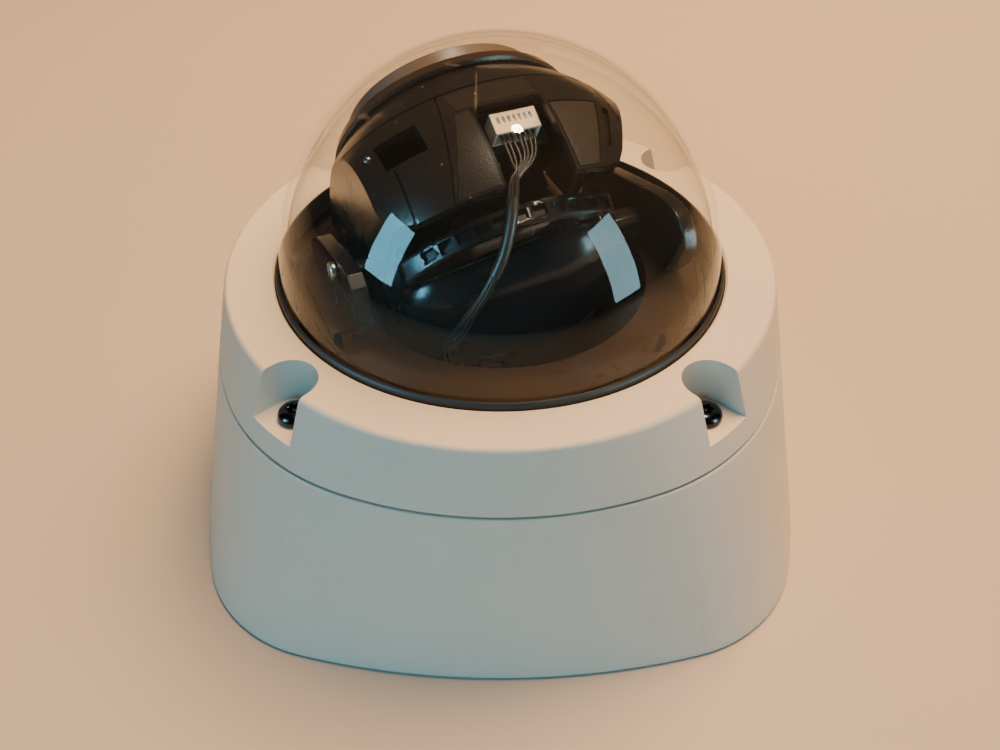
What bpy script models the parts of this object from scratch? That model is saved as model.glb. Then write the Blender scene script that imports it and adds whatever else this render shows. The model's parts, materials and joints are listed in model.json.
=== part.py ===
"""Surface-mount vandal-resistant dome camera, lying on its mounting face with the dome up.

Frame: metres, +Z up, origin at the centre of the mounting face, front of the housing towards -Y.
The housing holds a three-axis camera gimbal (pan, tilt, azimuth) under a clear dome that is
clamped in a screwed-on cover ring.
"""

import math

import bmesh
import bpy
from mathutils import Matrix, Vector

MM = 0.001

# Housing outline: half width at mid side, radius of the side arcs, radius of the corner arcs.
FOOT_OUTLINE = (77.4, 178.6, 35.3)
PARTING_OUTLINE = (68.7, 88.0, 52.4)
FACE_RADIUS = 65.2
PARTING_Z = 45.2
FACE_Z = 61.7
PARTING_GAP = 0.5
WALL = 4.5
FLOOR = 3.5
OUTLINE_STEPS = 36

# Cover, dome and their fasteners.
COVER_WALL = 3.0
COVER_PLATE = 3.3
OPENING_RADIUS = 53.7
DOME_OUTER = 52.2
DOME_INNER = 50.4
DOME_CENTRE_Z = 61.8
DOME_FLANGE = (54.6, 56.9)
DOME_FLANGE_RADIUS = 56.7
NOTCH_CENTRE = 62.7
NOTCH_RADIUS = 6.2
NOTCH_FLOOR_Z = 50.7
NOTCH_WALL = 1.7
CORNER_ANGLES = (45, 135, 225, 315)
SIDE_ANGLES = (0, 90, 180, 270)
RETAINER_SCREW_CIRCLE = 60.4

# Gimbal.
PAN_DEG = 23.0
TILT_DEG = 30.0
GIMBAL_Z = DOME_CENTRE_Z
RING_INNER = 35.2
RING_OUTER = 49.2
RING_TOP = -4.8
BOWL_INNER = 35.8
BOWL_WALL = 2.4
LEG_CIRCLE = 28.0
ARM_INSIDE = 36.6
ARM_OUTSIDE = 40.2
BALL_RADIUS = 44.5
BALL_HALF_WIDTH = 33.0
BALL_REAR = -3.5
BALL_FRONT = 34.0
FRAME_FRONT = -3.9
HOOD_RADIUS = 24.6
HOOD_SPHERE = 49.2
LOCK_ARC = 7.5
LOCK_ANGLE = 65.0
FRAME_ROLL = 20.0

# Electronics bay.
BOARD_Z = (9.0, 10.6)
BOARD_SCREWS = ((-28.5, 44.5), (28.5, 44.5), (-28.5, 62.5), (5.0, 62.6))
MOUNTING_HOLES = ((-38, -50), (38, -50), (-38, 50), (38, 50))
CABLE_HOLE = (-50.0, 0.0)
CABLE_HOLE_RADIUS = 9.5
CONDUIT_Z = 21.0
CONDUIT_RADIUS = 10.6

MATERIALS = {
    "housing_paint": ((0.60, 0.62, 0.60), 0.55, 0.0),
    "clear_dome": ((0.85, 0.86, 0.86), 0.05, 0.0),
    "black_rubber": ((0.015, 0.015, 0.015), 0.6, 0.0),
    "black_plastic": ((0.025, 0.023, 0.022), 0.4, 0.0),
    "satin_plastic": ((0.06, 0.045, 0.038), 0.45, 0.0),
    "hood_plastic": ((0.10, 0.075, 0.065), 0.35, 0.0),
    "white_plastic": ((0.75, 0.73, 0.68), 0.4, 0.0),
    "green_plastic": ((0.05, 0.30, 0.12), 0.45, 0.0),
    "circuit_board": ((0.03, 0.12, 0.06), 0.4, 0.0),
    "black_screw": ((0.03, 0.03, 0.03), 0.25, 0.9),
    "steel": ((0.62, 0.62, 0.60), 0.3, 1.0),
    "zinc": ((0.45, 0.46, 0.46), 0.45, 1.0),
    "lens_glass": ((0.05, 0.04, 0.07), 0.03, 0.0),
    "filter_glass": ((0.55, 0.20, 0.25), 0.05, 0.0),
    "wire_sleeve": ((0.05, 0.05, 0.055), 0.55, 0.0),
}


def clear_scene():
    for obj in list(bpy.data.objects):
        bpy.data.objects.remove(obj, do_unlink=True)
    for mesh in list(bpy.data.meshes):
        bpy.data.meshes.remove(mesh)


def material(name):
    if name in bpy.data.materials:
        return bpy.data.materials[name]
    colour, roughness, metallic = MATERIALS[name]
    made = bpy.data.materials.new(name)
    made.use_nodes = True
    shader = made.node_tree.nodes["Principled BSDF"]
    shader.inputs["Base Color"].default_value = (*colour, 1.0)
    shader.inputs["Roughness"].default_value = roughness
    shader.inputs["Metallic"].default_value = metallic
    if name == "clear_dome":
        shader.inputs["Transmission Weight"].default_value = 1.0
        shader.inputs["IOR"].default_value = 1.58
    made.diffuse_color = (*colour, 1.0)
    return made


def finish(bm, name, paint=None, parent=None, sharp=32.0):
    """An object made from a bmesh drawn in millimetres."""
    bmesh.ops.scale(bm, vec=(MM, MM, MM), verts=bm.verts)
    bmesh.ops.recalc_face_normals(bm, faces=bm.faces)
    mesh = bpy.data.meshes.new(name)
    bm.to_mesh(mesh)
    bm.free()
    obj = bpy.data.objects.new(name, mesh)
    bpy.context.scene.collection.objects.link(obj)
    if parent is not None:
        obj.parent = parent
    if paint is None:
        obj.hide_render = True
        obj.display_type = "WIRE"
    else:
        mesh.materials.append(material(paint))
        mesh.shade_smooth()
        mesh.set_sharp_from_angle(angle=math.radians(sharp))
    return obj


def boolean(obj, other, operation="DIFFERENCE"):
    modifier = obj.modifiers.new(f"{operation.lower()}_{other.name}", "BOOLEAN")
    modifier.operation = operation
    modifier.solver = "EXACT"
    modifier.object = other
    return obj


def empty(name, location, rotation=(0, 0, 0), parent=None):
    obj = bpy.data.objects.new(name, None)
    obj.empty_display_size = 0.02
    obj.location = [value * MM for value in location]
    obj.rotation_euler = [math.radians(value) for value in rotation]
    obj.parent = parent
    bpy.context.scene.collection.objects.link(obj)
    return obj


def polar(radius, degrees, z=0.0):
    angle = math.radians(degrees)
    return Vector((radius * math.cos(angle), radius * math.sin(angle), z))


def add_loft(bm, rings):
    """Skins a stack of closed rings that have the same number of points, with flat caps."""
    rows = [[bm.verts.new(point) for point in ring] for ring in rings]
    count = len(rows[0])
    for low, high in zip(rows, rows[1:]):
        for i in range(count):
            j = (i + 1) % count
            bm.faces.new((low[i], low[j], high[j], high[i]))
    bm.faces.new(reversed(rows[0]))
    bm.faces.new(rows[-1])


def add_lathe(bm, profile, steps):
    """Turns a closed (radius, z) outline about Z. No point lies on the axis."""
    rows = []
    for i in range(steps):
        angle = 2 * math.pi * (i + 0.5) / steps
        cosine, sine = math.cos(angle), math.sin(angle)
        rows.append([bm.verts.new((r * cosine, r * sine, z)) for r, z in profile])
    count = len(profile)
    for i in range(steps):
        here, there = rows[i], rows[(i + 1) % steps]
        for a in range(count):
            b = (a + 1) % count
            bm.faces.new((here[a], there[a], there[b], here[b]))


def add_rod(bm, radius, low, high, at=(0, 0), steps=16):
    """A solid rod along Z."""
    place = Matrix.Translation((at[0], at[1], (low + high) / 2))
    bmesh.ops.create_cone(
        bm, cap_ends=True, segments=steps, radius1=radius, radius2=radius, depth=high - low, matrix=place
    )


def add_turned(bm, levels, steps, at=(0.0, 0.0)):
    """A solid of revolution about a vertical line, as (radius, z) levels from one end to the other."""
    circle = arc(1.0, 0, 360, steps)[:-1]
    rings = []
    for radius, z in levels:
        rings.append([(at[0] + radius * x, at[1] + radius * y, z) for x, y in circle])
    add_loft(bm, rings)


def add_box(bm, low, high):
    centre = [(a + b) / 2 for a, b in zip(low, high)]
    size = [b - a for a, b in zip(low, high)]
    frame = Matrix.Translation(centre) @ Matrix.Diagonal((*size, 1.0))
    bmesh.ops.create_cube(bm, size=1.0, matrix=frame)


def add_prism(bm, outline, low, high, axis="Z"):
    """Extrudes a closed outline along one axis; the outline lies in the other two, in order."""
    turn = {
        "X": lambda a, b, c: (c, a, b),
        "Y": lambda a, b, c: (a, c, b),
        "Z": lambda a, b, c: (a, b, c),
    }[axis]
    add_loft(bm, [[turn(a, b, c) for a, b in outline] for c in (low, high)])


def lathe(name, profile, steps, paint=None, parent=None, sharp=32.0):
    bm = bmesh.new()
    add_lathe(bm, profile, steps)
    return finish(bm, name, paint, parent, sharp)


def turned(name, levels, steps, paint=None, parent=None, at=(0.0, 0.0), sharp=32.0):
    bm = bmesh.new()
    add_turned(bm, levels, steps, at)
    return finish(bm, name, paint, parent, sharp)


def rod(name, radius, low, high, at=(0, 0), steps=16, paint=None, parent=None):
    bm = bmesh.new()
    add_rod(bm, radius, low, high, at, steps)
    return finish(bm, name, paint, parent)


def box(name, low, high, paint=None, parent=None):
    bm = bmesh.new()
    add_box(bm, low, high)
    return finish(bm, name, paint, parent)


def prism(name, outline, low, high, axis="Z", paint=None, parent=None):
    bm = bmesh.new()
    add_prism(bm, outline, low, high, axis)
    return finish(bm, name, paint, parent)


def arc(radius, first, last, steps, centre=(0.0, 0.0)):
    """Points on an arc, in degrees."""
    points = []
    for i in range(steps + 1):
        angle = math.radians(first + (last - first) * i / steps)
        points.append((centre[0] + radius * math.cos(angle), centre[1] + radius * math.sin(angle)))
    return points


def rounded_rectangle(half_width, low, high, radius, steps=5):
    across, down, up = half_width - radius, low + radius, high - radius
    corners = (((across, down), -90), ((across, up), 0), ((-across, up), 90), ((-across, down), 180))
    outline = []
    for centre, first in corners:
        outline += arc(radius, first, first + 90, steps, centre)
    return outline


def capsule(start, end, radius, steps=8):
    """The outline of a slot with round ends between two points."""
    turn = math.degrees(math.atan2(end[1] - start[1], end[0] - start[0]))
    far = arc(radius, turn - 90, turn + 90, steps, end)
    return far + arc(radius, turn + 90, turn + 270, steps, start)


def outline_radius(outline, angle):
    """Distance from the axis to a soft square of four side arcs and four corner arcs."""
    half, side, corner = outline
    offset = side - half
    reach = side - corner
    centre = (-offset + math.sqrt(max(2 * reach**2 - offset**2, 0.0))) / 2
    joint = math.atan2(centre, centre + offset)
    joint = math.atan2(side * math.sin(joint), side * math.cos(joint) - offset)
    angle = abs((angle + math.pi / 4) % (math.pi / 2) - math.pi / 4)
    at, radius = ((-offset, 0.0), side) if angle < joint else ((centre, centre), corner)
    along = at[0] * math.cos(angle) + at[1] * math.sin(angle)
    return along + math.sqrt(radius**2 - at[0] ** 2 - at[1] ** 2 + along**2)


def housing_radius(angle, z):
    face = (FACE_RADIUS, FACE_RADIUS, FACE_RADIUS)
    if z < PARTING_Z:
        low, high, share = FOOT_OUTLINE, PARTING_OUTLINE, z / PARTING_Z
    else:
        low, high, share = PARTING_OUTLINE, face, (z - PARTING_Z) / (FACE_Z - PARTING_Z)
    return outline_radius(low, angle) * (1 - share) + outline_radius(high, angle) * share


def housing_ring(z, inset=0.0, at_z=None):
    """One level of the housing's outside, moved inwards."""
    ring = []
    for i in range(OUTLINE_STEPS):
        angle = 2 * math.pi * (i + 0.5) / OUTLINE_STEPS
        radius = housing_radius(angle, z) - inset
        ring.append((radius * math.cos(angle), radius * math.sin(angle), z if at_z is None else at_z))
    return ring


def housing_loft(name, levels, paint=None):
    bm = bmesh.new()
    add_loft(bm, [housing_ring(*level) for level in levels])
    return finish(bm, name, paint, sharp=28.0)


def notch_cutters(name, extra, low, high):
    """Round-ended pockets on the four diagonals, open to the outside."""
    cutters = []
    for angle in CORNER_ANGLES:
        bm = bmesh.new()
        radius = NOTCH_RADIUS + extra
        flare = radius + 0.9
        outline = [(24.0, -flare), (24.0, flare)] + arc(radius, 90, 270, 10)
        add_prism(bm, outline, low, high)
        frame = Matrix.Rotation(math.radians(angle), 4, "Z") @ Matrix.Translation((NOTCH_CENTRE, 0, 0))
        bmesh.ops.transform(bm, matrix=frame, verts=bm.verts)
        cutters.append(finish(bm, f"{name}_{angle}"))
    return cutters


def screw(name, at, head, shank, paint, steps=16, drive=None, parent=None):
    """Head and shank along Z: head is (radius, low, high), shank is (radius, low)."""
    head_radius, low, high = head
    shank_radius, bottom = shank
    rounding = (high - low) * 0.45
    levels = [
        (shank_radius, bottom),
        (shank_radius, low),
        (head_radius, low),
        (head_radius, high - rounding),
        (head_radius * 0.88, high - rounding * 0.35),
        (head_radius * 0.62, high),
    ]
    made = turned(name, levels, steps, paint, parent, at)
    if drive is not None:
        across, depth = drive
        boolean(made, rod(f"{name}_drive", across, high - depth, high + 1, at, 6, parent=parent))
    return made


def side_screw(name, side, head, shank, centre, parent):
    """A screw along the tilt axis direction, with its head outside."""
    head_radius, low, high = head
    shank_radius, bottom = shank
    levels = [
        (shank_radius, bottom),
        (shank_radius, low),
        (head_radius, low),
        (head_radius, high - 0.4),
        (head_radius * 0.8, high),
    ]
    circle = arc(1.0, 0, 360, 12)[:-1]
    bm = bmesh.new()
    rings = []
    for radius, x in levels:
        rings.append([(x, centre[0] + radius * a, centre[1] + radius * b) for a, b in circle])
    add_loft(bm, rings)
    if side < 0:
        bmesh.ops.scale(bm, vec=(-1, 1, 1), verts=bm.verts)
    return finish(bm, name, "steel", parent)


def build_housing():
    levels = [(0.0, 1.2), (0.35, 0.45), (1.2, 0.0), (PARTING_Z - PARTING_GAP / 2, -0.12)]
    base = housing_loft("base_housing", levels, "housing_paint")
    inside = housing_loft("housing_inside", [(FLOOR, WALL), (PARTING_Z + 2, WALL)])
    for angle in CORNER_ANGLES:
        boss = rod(f"cover_boss_{angle}", 5.0, 24.0, 60.0, polar(NOTCH_CENTRE, angle)[:2], 16)
        boolean(inside, boss)
        web = box(f"cover_boss_web_{angle}", (NOTCH_CENTRE, -2.0, 24.0), (92.0, 2.0, 60.0))
        web.rotation_euler.z = math.radians(angle)
        boolean(inside, web)
    for index, at in enumerate(BOARD_SCREWS):
        boolean(inside, rod(f"board_post_{index}", 3.2, 0.0, BOARD_Z[0] - 0.3, at, 12))
    boolean(base, inside)

    for angle in CORNER_ANGLES:
        at = polar(NOTCH_CENTRE, angle)[:2]
        boolean(base, rod(f"cover_thread_{angle}", 2.35, 30.0, 60.0, at, 12))
    for index, at in enumerate(BOARD_SCREWS):
        boolean(base, rod(f"board_thread_{index}", 1.55, 5.0, 20.0, at, 10))
    for index, at in enumerate(MOUNTING_HOLES):
        boolean(base, rod(f"mounting_hole_{index}", 2.7, -2.0, 8.0, at, 16))
    boolean(base, rod("cable_hole", CABLE_HOLE_RADIUS, -2.0, 8.0, CABLE_HOLE, 24))
    for index in range(3):
        at = polar(LEG_CIRCLE, 30 + 120 * index)[:2]
        boolean(base, rod(f"gimbal_foot_recess_{index}", 3.6, FLOOR - 0.8, 9.0, at, 16))

    groove = housing_loft("seal_groove", [(43.3, 1.25), (PARTING_Z + 1, 1.25)])
    boolean(groove, housing_loft("seal_groove_core", [(42.0, 3.25), (PARTING_Z + 2, 3.25)]))
    boolean(base, groove)

    seal = housing_loft("cover_seal", [(43.6, 1.55), (45.1, 1.55)], "black_rubber")
    boolean(seal, housing_loft("cover_seal_core", [(42.0, 2.95), (PARTING_Z + 1, 2.95)]))
    return base


def build_conduit(base):
    """A side cable entry in the rear wall, closed with a slotted plug and a flat seal."""
    slope = math.degrees(math.atan2(FOOT_OUTLINE[0] - PARTING_OUTLINE[0], PARTING_Z))
    share = CONDUIT_Z / PARTING_Z
    wall_y = FOOT_OUTLINE[0] * (1 - share) + PARTING_OUTLINE[0] * share
    # Local +Z points straight out of the wall.
    seat = empty("conduit_axis", (0, wall_y, CONDUIT_Z), (slope - 90, 0, 0))
    boolean(base, rod("conduit_spot_face", 14.6, -0.9, 6.0, steps=28, parent=seat))
    boolean(base, rod("conduit_hole", CONDUIT_RADIUS + 0.3, -12.0, 4.0, steps=28, parent=seat))
    flat = [(10.95, -0.6), (13.2, -0.6), (13.2, 0.3), (10.95, 0.3)]
    lathe("conduit_seal", flat, 28, "black_rubber", seat)
    thread = [(CONDUIT_RADIUS - 0.7, -9.0), (CONDUIT_RADIUS, -8.3), (CONDUIT_RADIUS, 0.6)]
    head = [(13.4, 0.6), (13.4, 1.2), (12.6, 2.0)]
    plug = turned("conduit_plug", thread + head, 28, "zinc", seat)
    boolean(plug, box("conduit_slot", (-8.0, -1.1, 0.8), (8.0, 1.1, 6.0), parent=seat))


def build_cover():
    low = PARTING_Z + PARTING_GAP / 2
    levels = [(low, 0.12), (low + 0.5, 0.0), (FACE_Z - 0.9, 0.0), (FACE_Z - 0.3, 0.25), (FACE_Z, 0.8)]
    cover = housing_loft("cover_ring", levels, "housing_paint")
    levels = [(low, COVER_WALL + 1.5, low - 3), (low + 1.5, COVER_WALL), (FACE_Z - COVER_PLATE, COVER_WALL)]
    inside = housing_loft("cover_inside", levels)
    for pocket in notch_cutters("notch_wall", NOTCH_WALL, 30.0, 70.0):
        boolean(inside, pocket)
    for angle in SIDE_ANGLES:
        at = polar(RETAINER_SCREW_CIRCLE, angle)[:2]
        boolean(inside, rod(f"retainer_boss_{angle}", 3.0, 54.9, 70.0, at, 12))
    boolean(cover, inside)
    opening = [(OPENING_RADIUS, 40.0), (OPENING_RADIUS, FACE_Z - 0.5), (OPENING_RADIUS + 1.5, FACE_Z + 1.0)]
    boolean(cover, turned("cover_opening", opening, 36))
    for pocket in notch_cutters("notch", 0.0, NOTCH_FLOOR_Z, 70.0):
        boolean(cover, pocket)
    for angle in CORNER_ANGLES:
        at = polar(NOTCH_CENTRE, angle)[:2]
        boolean(cover, rod(f"cover_screw_hole_{angle}", 2.35, 40.0, 60.0, at, 12))
    for angle in SIDE_ANGLES:
        at = polar(RETAINER_SCREW_CIRCLE, angle)[:2]
        boolean(cover, rod(f"retainer_thread_{angle}", 1.55, 50.0, 59.5, at, 10))

    flange_low, flange_high = DOME_FLANGE
    skirt = [(DOME_FLANGE_RADIUS, flange_low), (DOME_FLANGE_RADIUS, flange_high), (DOME_OUTER, flange_high)]
    bulb = [(r, DOME_CENTRE_Z + z) for r, z in arc(DOME_OUTER, 0, 88.0, 7)]
    dome = turned("dome_bubble", skirt + bulb, 36, "clear_dome", sharp=40)
    hollow = [(r, DOME_CENTRE_Z + z) for r, z in arc(DOME_INNER, 0, 88.0, 7)]
    boolean(dome, turned("dome_hollow", [(DOME_INNER, 50.0)] + hollow, 36))

    bore, seat = DOME_OUTER + 0.3, OPENING_RADIUS - 0.3
    foot = [(bore, 57.2), (DOME_FLANGE_RADIUS, 57.2), (DOME_FLANGE_RADIUS, 58.1), (seat, 58.1)]
    lip = [(seat, 62.1), (OPENING_RADIUS - 0.8, 62.7), (bore, 62.9)]
    gasket = lathe("dome_gasket", foot + lip, 36, "black_rubber")
    ring = [(49.9, 52.2), (63.3, 52.2), (63.3, 54.3), (49.9, 54.3)]
    retainer = lathe("dome_retainer", ring, 36, "black_plastic")
    for body, name in ((dome, "dome_scallop"), (gasket, "gasket_scallop"), (retainer, "retainer_scallop")):
        for pocket in notch_cutters(name, NOTCH_WALL + 0.3, 40.0, 58.3):
            boolean(body, pocket)
    for angle in SIDE_ANGLES:
        at = polar(RETAINER_SCREW_CIRCLE, angle)[:2]
        boolean(retainer, rod(f"retainer_hole_{angle}", 1.6, 50.0, 56.0, at, 10))
    for index, angle in enumerate(SIDE_ANGLES, 1):
        at = polar(RETAINER_SCREW_CIRCLE, angle)[:2]
        levels = [(1.8, 50.2), (2.4, 50.7), (2.4, 51.9), (1.25, 51.9), (1.25, 58.8)]
        turned(f"retainer_screw_{index}", levels, 10, "steel", at=at)
    for index, angle in enumerate(CORNER_ANGLES, 1):
        at = polar(NOTCH_CENTRE, angle)[:2]
        screw(f"cover_screw_{index}", at, (3.8, 51.0, 53.2), (2.0, 33.0), "black_screw", 14, (1.9, 1.2))


def build_electronics():
    low, high = BOARD_Z
    board = box("main_board", (-32.0, 41.5, low), (32.0, 65.5, high), "circuit_board")
    for index, at in enumerate(BOARD_SCREWS):
        boolean(board, rod(f"board_hole_{index}", 1.6, 0.0, 20.0, at, 10))
    for index, at in enumerate(BOARD_SCREWS, 1):
        screw(f"board_screw_{index}", at, (2.5, high + 0.3, high + 1.7), (1.25, 5.6), "steel", 10)

    top = high + 0.3
    jack = box("ethernet_jack", (-24.0, 47.0, top), (-8.0, 62.0, top + 13.4), "zinc")
    boolean(jack, box("jack_socket", (-21.9, 44.0, top + 2.4), (-10.1, 58.5, top + 9.6)))
    box("power_terminal", (-5.0, 47.0, top), (5.0, 55.0, top + 8.0), "green_plastic")
    io_block = box("io_terminal", (8.0, 47.5, top), (24.0, 55.0, top + 8.0), "green_plastic")
    for index in range(4):
        x = 10.5 + 3.7 * index
        boolean(io_block, box(f"io_entry_{index}", (x - 1.1, 45.0, top + 1.5), (x + 1.1, 52.0, top + 4.5)))
    header = box("camera_header", (-5.5, 42.0, top), (5.5, 46.0, top + 5.0), "white_plastic")
    boolean(header, box("camera_header_mouth", (-4.3, 41.0, top + 0.6), (4.3, 44.8, top + 4.4)))

    socket = box("sd_socket", (8.0, 57.5, top), (22.0, 64.5, top + 2.2), "zinc")
    boolean(socket, box("sd_slot", (9.2, 58.4, top + 0.5), (25.0, 63.6, top + 1.8)))
    box("sd_card", (9.8, 58.7, top + 0.8), (23.6, 63.3, top + 1.5), "black_plastic")

    body = box("switch_body", (-4.0, 57.0, top), (2.0, 63.0, top + 3.0), "black_plastic")
    boolean(body, rod("switch_well", 1.8, top + 0.8, top + 5, (-1.0, 60.0), 16))
    rod("reset_button", 1.45, top + 1.6, top + 4.4, (-1.0, 60.0), 16, "white_plastic")

    sleeve = [(5.0, 0.4), (9.1, 0.4), (9.1, FLOOR + 0.4)]
    lip = [(11.5, FLOOR + 0.4), (11.0, FLOOR + 2.2), (5.6, FLOOR + 2.2), (5.0, FLOOR + 1.6)]
    grommet = lathe("cable_grommet", sleeve + lip, 24, "black_rubber")
    grommet.location = (CABLE_HOLE[0] * MM, CABLE_HOLE[1] * MM, 0)


def build_gimbal_base():
    """A plate on three legs, with a bearing collar for the pan hub and a screw that locks the pan."""
    plate = [(6.9, 14.0), (34.0, 14.0), (34.0, 16.8), (14.0, 16.8), (13.0, 17.8)]
    collar = [(13.0, 24.2), (9.4, 24.2), (9.4, 19.0), (6.9, 19.0)]
    base = lathe("gimbal_base", plate + collar, 24, "black_plastic")
    for index in range(3):
        at = polar(LEG_CIRCLE, 30 + 120 * index)[:2]
        boolean(base, rod(f"gimbal_leg_{index}", 3.2, FLOOR - 0.5, 15.0, at, 12), "UNION")
    for index in range(3):
        at = polar(LEG_CIRCLE, 30 + 120 * index)[:2]
        boolean(base, rod(f"gimbal_leg_hole_{index}", 1.85, 6.0, 20.0, at, 10))
    level = 21.5
    bore = prism("pan_lock_hole", arc(1.85, 0, 360, 12, (0.0, level))[:-1], -15.0, -8.0, "Y")
    boolean(base, bore)
    for index in range(3):
        at = polar(LEG_CIRCLE, 30 + 120 * index)[:2]
        screw(f"gimbal_screw_{index + 1}", at, (2.9, 17.1, 18.9), (1.5, 7.0), "steel", 10)

    bm = bmesh.new()
    rings = []
    for radius, distance in ((1.5, 9.75), (1.5, 14.0), (3.6, 14.0), (3.6, 19.0), (3.0, 19.6)):
        rings.append([(radius * x, -distance, level + radius * y) for x, y in arc(1.0, 0, 360, 10)[:-1]])
    add_loft(bm, rings)
    finish(bm, "pan_lock_screw", "steel")


def build_pan(pan):
    """The turning bowl with its wide rim, and the two yoke arms that stand on the rim."""
    bowl_outer = BOWL_INNER + BOWL_WALL
    hub = -BOWL_INNER - 0.2
    first = -math.degrees(math.asin(7.6 / bowl_outer))
    outside = arc(bowl_outer, first, -75.0, 4)
    inside = arc(BOWL_INNER, -75.0, -math.degrees(math.asin(6.0 / BOWL_INNER)), 4)
    rim = [(RING_INNER, RING_TOP), (RING_OUTER - 0.4, RING_TOP), (RING_OUTER, RING_TOP - 0.4)]
    neck = [(9.0, outside[-1][1]), (9.0, hub - 6.3), (6.4, hub - 6.3), (6.4, inside[0][1])]
    profile = rim + [(RING_OUTER, -7.6)] + outside + neck + inside + [(RING_INNER, -6.0)]
    lathe("pan_bowl", profile, 32, "satin_plastic", pan)

    foot = RING_TOP + 0.3
    front = [(24.0, foot), (23.0, 1.0), (16.0, 6.0)]
    long_back = [(-9.0, 13.0), (-14.0, 13.6), (-18.5, 12.6), (-22.0, 9.6), (-23.2, 6.0), (-21.0, 0.5)]
    short_back = [(-6.0, 12.2), (-10.0, 12.4), (-13.0, 10.6), (-14.2, 7.0), (-13.6, 1.0)]
    long_back.append((-17.0, foot))
    short_back.append((-10.0, foot))
    for side, name, back in ((1, "right", long_back), (-1, "left", short_back)):
        outline = front + back
        ends = sorted((side * ARM_INSIDE, side * ARM_OUTSIDE))
        arm = prism(f"yoke_arm_{name}", outline, ends[0], ends[1], "X", "black_plastic", pan)
        toe = sorted((side * (ARM_INSIDE + 1), side * 45.0))
        toe_box = box(f"arm_toe_{name}", (toe[0], -9.0, foot), (toe[1], 13.0, foot + 1.6), parent=pan)
        boolean(arm, toe_box, "UNION")
        reach = sorted((side * (ARM_INSIDE - 3), side * (ARM_OUTSIDE - 0.7)))
        bore = arc(2.0, 0, 360, 16)[:-1]
        boolean(arm, prism(f"arm_bore_{name}", bore, reach[0], reach[1], "X", parent=pan))
        if name == "left":
            # The lock screw slides in this slot as the camera tilts.
            slot = arc(LOCK_ARC + 1.5, 83, 167, 10) + list(reversed(arc(LOCK_ARC - 1.5, 83, 167, 10)))
            boolean(arm, prism("arm_slot", slot, -ARM_OUTSIDE - 8, 3 - ARM_INSIDE, "X", parent=pan))
        else:
            groove = capsule((2.6, 4.2), (-10.1, 4.8), 0.65, 5)
            low, high = ARM_OUTSIDE - 1.4, ARM_OUTSIDE + 8
            boolean(arm, prism("arm_groove", groove, low, high, "X", parent=pan))


def shell_plan(inset, front):
    """The shell's plan: square in front, round at the rear left, tapered along the rear right."""
    left = -BALL_HALF_WIDTH + inset
    rear = BALL_REAR - 1.4 * inset
    corner = 8.0 - inset
    rear_left = arc(corner, 180, 270, 6, (left + corner, rear + corner))
    taper = [(14.0 - 0.4 * inset, rear), (18.0 - inset, rear + 1.3), (20.0 - inset, BALL_REAR + 4.0)]
    side = [(27.0 - inset, 13.5), (28.5 - inset, 17.0), (28.5 - inset, front), (left, front)]
    return rear_left + taper + side


def rolled(x, y, z):
    """A point turned about the lens axis by the frame's roll."""
    return Matrix.Rotation(math.radians(-FRAME_ROLL), 3, "Y") @ Vector((x, y, z))


def rolled_loft(name, outline, levels, parent, paint=None):
    """A body along the lens axis from one outline, as (y, scale) levels, turned with the frame."""
    bm = bmesh.new()
    rings = []
    for y, scale in levels:
        rings.append([rolled(x * scale, y, z * scale + 1.5) for x, z in outline])
    add_loft(bm, rings)
    return finish(bm, name, paint, parent)


def ball(name, radius, around, along, parent, paint=None):
    """A sphere with its poles on the lens axis."""
    bm = bmesh.new()
    bmesh.ops.create_uvsphere(bm, u_segments=around, v_segments=along, radius=radius)
    quarter = Matrix.Rotation(math.radians(90), 3, "X")
    bmesh.ops.rotate(bm, verts=bm.verts, cent=(0, 0, 0), matrix=quarter)
    return finish(bm, name, paint, parent)


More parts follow.
